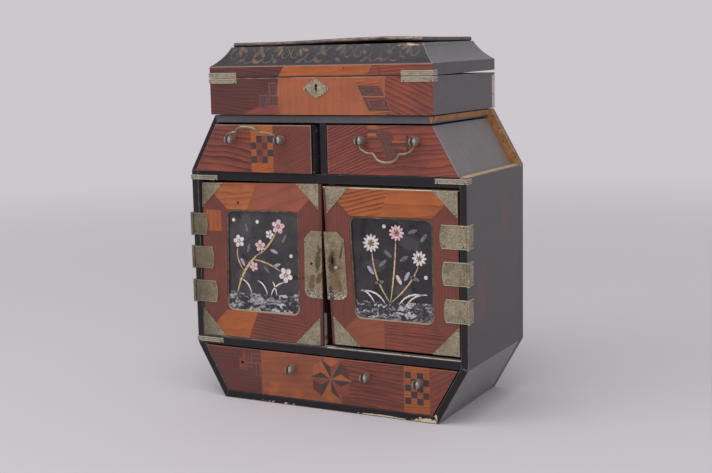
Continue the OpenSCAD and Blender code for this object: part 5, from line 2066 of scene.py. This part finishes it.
@dataclass
class Drawers:
    """All the drawers, each on its own body.

    Their bosses keep a core of a radius, and are slimmed from there to their
    shell.
    """

    slimness: float = 0.86
    core: float = 3.9
    shell: float = 5.2

    def slimmed(self, bosses: Thing) -> None:
        """Draws the bosses' flanks in, because old fingers have worn them down.

        Args:
            bosses: The bosses.
        """
        middles = [tuple((min(p[i] for p in piece) + max(p[i] for p in piece)) / 2 * MM for i in (0, 2))
                   for piece in islands(bosses)]
        for corner in bosses.data.vertices:
            x, z = min(middles, key=lambda m: (m[0] - corner.co.x) ** 2 + (m[1] - corner.co.z) ** 2)
            radius = math.hypot(corner.co.x - x, corner.co.z - z) / MM
            share = 1.0 - (1.0 - self.slimness) * ramp(radius, self.core, self.shell)
            corner.co.x = x + (corner.co.x - x) * share
            corner.co.z = z + (corner.co.z - z) * share

    def gap_shade(self, paint: Paint) -> Field:
        """Blackened outer side of the left drawer's tray, next to the divider."""
        return paint.x.above(-9.4) * paint.y.below(-20.0)

    def build(self) -> None:
        """Builds every drawer."""
        for body, veneer, tray in (
                ("left_drawer", LeftDrawerVeneer("left_drawer_veneer", -85.5, tone(26, 23, 25)),
                 # The left tray's outer side by the divider is painted dark, as shade.
                 Broken("left_tray_lacquer", TRAY, self.gap_shade, Wood.EBONY)),
                ("right_drawer", RightDrawerVeneer("right_drawer_veneer", -79.5, TRAY.shade), TRAY),
                ("long_drawer", LongDrawerVeneer("long_drawer_veneer", -79.5), TRAY)):
            drawer = Assembly(body)
            drawer.refined(f"{body}_front", "parquetry", veneer, 0.45)
            drawer.refined(f"{body}_tray", "grey_lacquer", tray, 0.3)
            drawer.refined(f"{body}_bosses", "bright_metal", BOSSES, 0.0, shape=self.slimmed)
        for bail in ("left_bail", "right_bail"):
            Assembly(bail).refined(bail, "bright_metal", BAILS, 0.0)
        for name in ("low_left", "high_left", "low_right", "high_right"):
            inner = Assembly(f"inner_drawer_{name}")
            inner.refined(inner.body, "parquetry", InnerDrawerVeneer("inner_drawer_veneer", -52.5), 0.4)
            inner.refined(f"inner_knob_{name}", "bright_metal", BOSSES, 0.0)


# The studio

@dataclass
class Studio:
    """Floor, light and camera; angles in degrees, lamps as metres and watts."""

    backdrop: Rgb = tone(204, 200, 205)
    floor: Rgb = tone(202, 197, 202)
    azimuth: float = 27.770
    elevation: float = 8.437
    roll: float = -1.198
    sensor: float = 36.0
    lens: float = 1210.515 * 36.0 / 712.0
    eye: Place = (611.813, -1166.991, 370.696)
    aim: Place = (0.0, 0.0, 0.18)
    lamps: tuple[tuple[str, Place, float, float], ...] = (
        ("key", (-1.5, -1.7, 1.7), 1.6, 12.0), ("front", (1.3, -2.1, 1.0), 1.8, 14.3),
        ("top", (0.1, -0.8, 2.1), 1.8, 18.0))

    def build(self) -> None:
        """Builds the studio."""
        self.lay_floor()
        self.hang_lamps()
        self.set_world()
        self.set_camera()

    def lay_floor(self) -> None:
        """Lays a pale floor that melts into the backdrop far away."""
        pick()
        bpy.ops.mesh.primitive_circle_add(vertices=96, radius=14.0, fill_type="NGON", location=(0.0, 0.0, -0.0002))
        floor = settled("studio_floor")
        paint = Paint("studio_paper")
        near = paint.node("BsdfPrincipled", **{"Base Color": self.floor, "Roughness": 0.9, "Specular IOR Level": 0.1})
        far = paint.node("Emission", self.backdrop)
        distance = (paint.x * paint.x + paint.y * paint.y) ** 0.5
        blend = paint.node("MixShader", distance.ramp(450.0, 2400.0), near.outputs[0], far.outputs[0])
        paint.node("OutputMaterial", blend.outputs[0])
        floor.data.materials.append(paint.material)

    def hang_lamps(self) -> None:
        """Hangs three soft lamps."""
        for name, place, size, power in self.lamps:
            lamp = bpy.data.lights.new(name, "AREA")
            lamp.shape = "DISK"
            lamp.size = size
            lamp.energy = power
            thing = linked(name, lamp)
            thing.location = place
            thing.rotation_euler = (Vector(self.aim) - Vector(place)).to_track_quat("-Z", "Y").to_euler()

    def set_world(self) -> None:
        """Sets an even world, and a plain backdrop for the camera and reflections."""
        world = bpy.data.worlds.new("studio_air")
        world.use_nodes = True
        graph = Graph(world.node_tree)
        light = graph.node("Background", (0.98, 0.98, 1.0), 0.55)
        seen = graph.node("Background", self.backdrop)
        path = graph.node("LightPath")
        either = graph.node("Math", path.outputs["Is Camera Ray"], path.outputs["Is Glossy Ray"])
        either.operation = "MAXIMUM"
        mixer = graph.node("MixShader", either.outputs[0], light.outputs[0], seen.outputs[0])
        graph.node("OutputWorld", mixer.outputs[0])
        bpy.context.scene.world = world
        bpy.context.scene.view_settings.view_transform = "Standard"

    def set_camera(self) -> None:
        """Sets the camera where the photograph was taken."""
        a, e, r = (math.radians(v) for v in (self.azimuth, self.elevation, self.roll))
        back = Vector((math.sin(a) * math.cos(e), -math.cos(a) * math.cos(e), math.sin(e)))
        right = Vector((math.cos(a), math.sin(a), 0.0))
        up = back.cross(right)
        turned = Matrix((math.cos(r) * right + math.sin(r) * up,
                         math.cos(r) * up - math.sin(r) * right, back)).transposed()
        view = bpy.data.cameras.new("photo_camera")
        view.lens = self.lens
        view.sensor_width = self.sensor
        view.clip_end = 100.0
        camera = linked("photo_camera", view)
        camera.matrix_world = Matrix.Translation(Vector(self.eye) * MM) @ turned.to_4x4()
        bpy.context.scene.camera = camera


def main() -> None:
    """Builds every sub-assembly in order, then the studio."""
    logging.basicConfig(level=logging.INFO, format="%(message)s")
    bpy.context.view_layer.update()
    for assembly in (Case(), TopBox(), Lid(), *DOORS, Drawers(), Studio()):
        assembly.build()


if __name__ == "__main__":
    main()
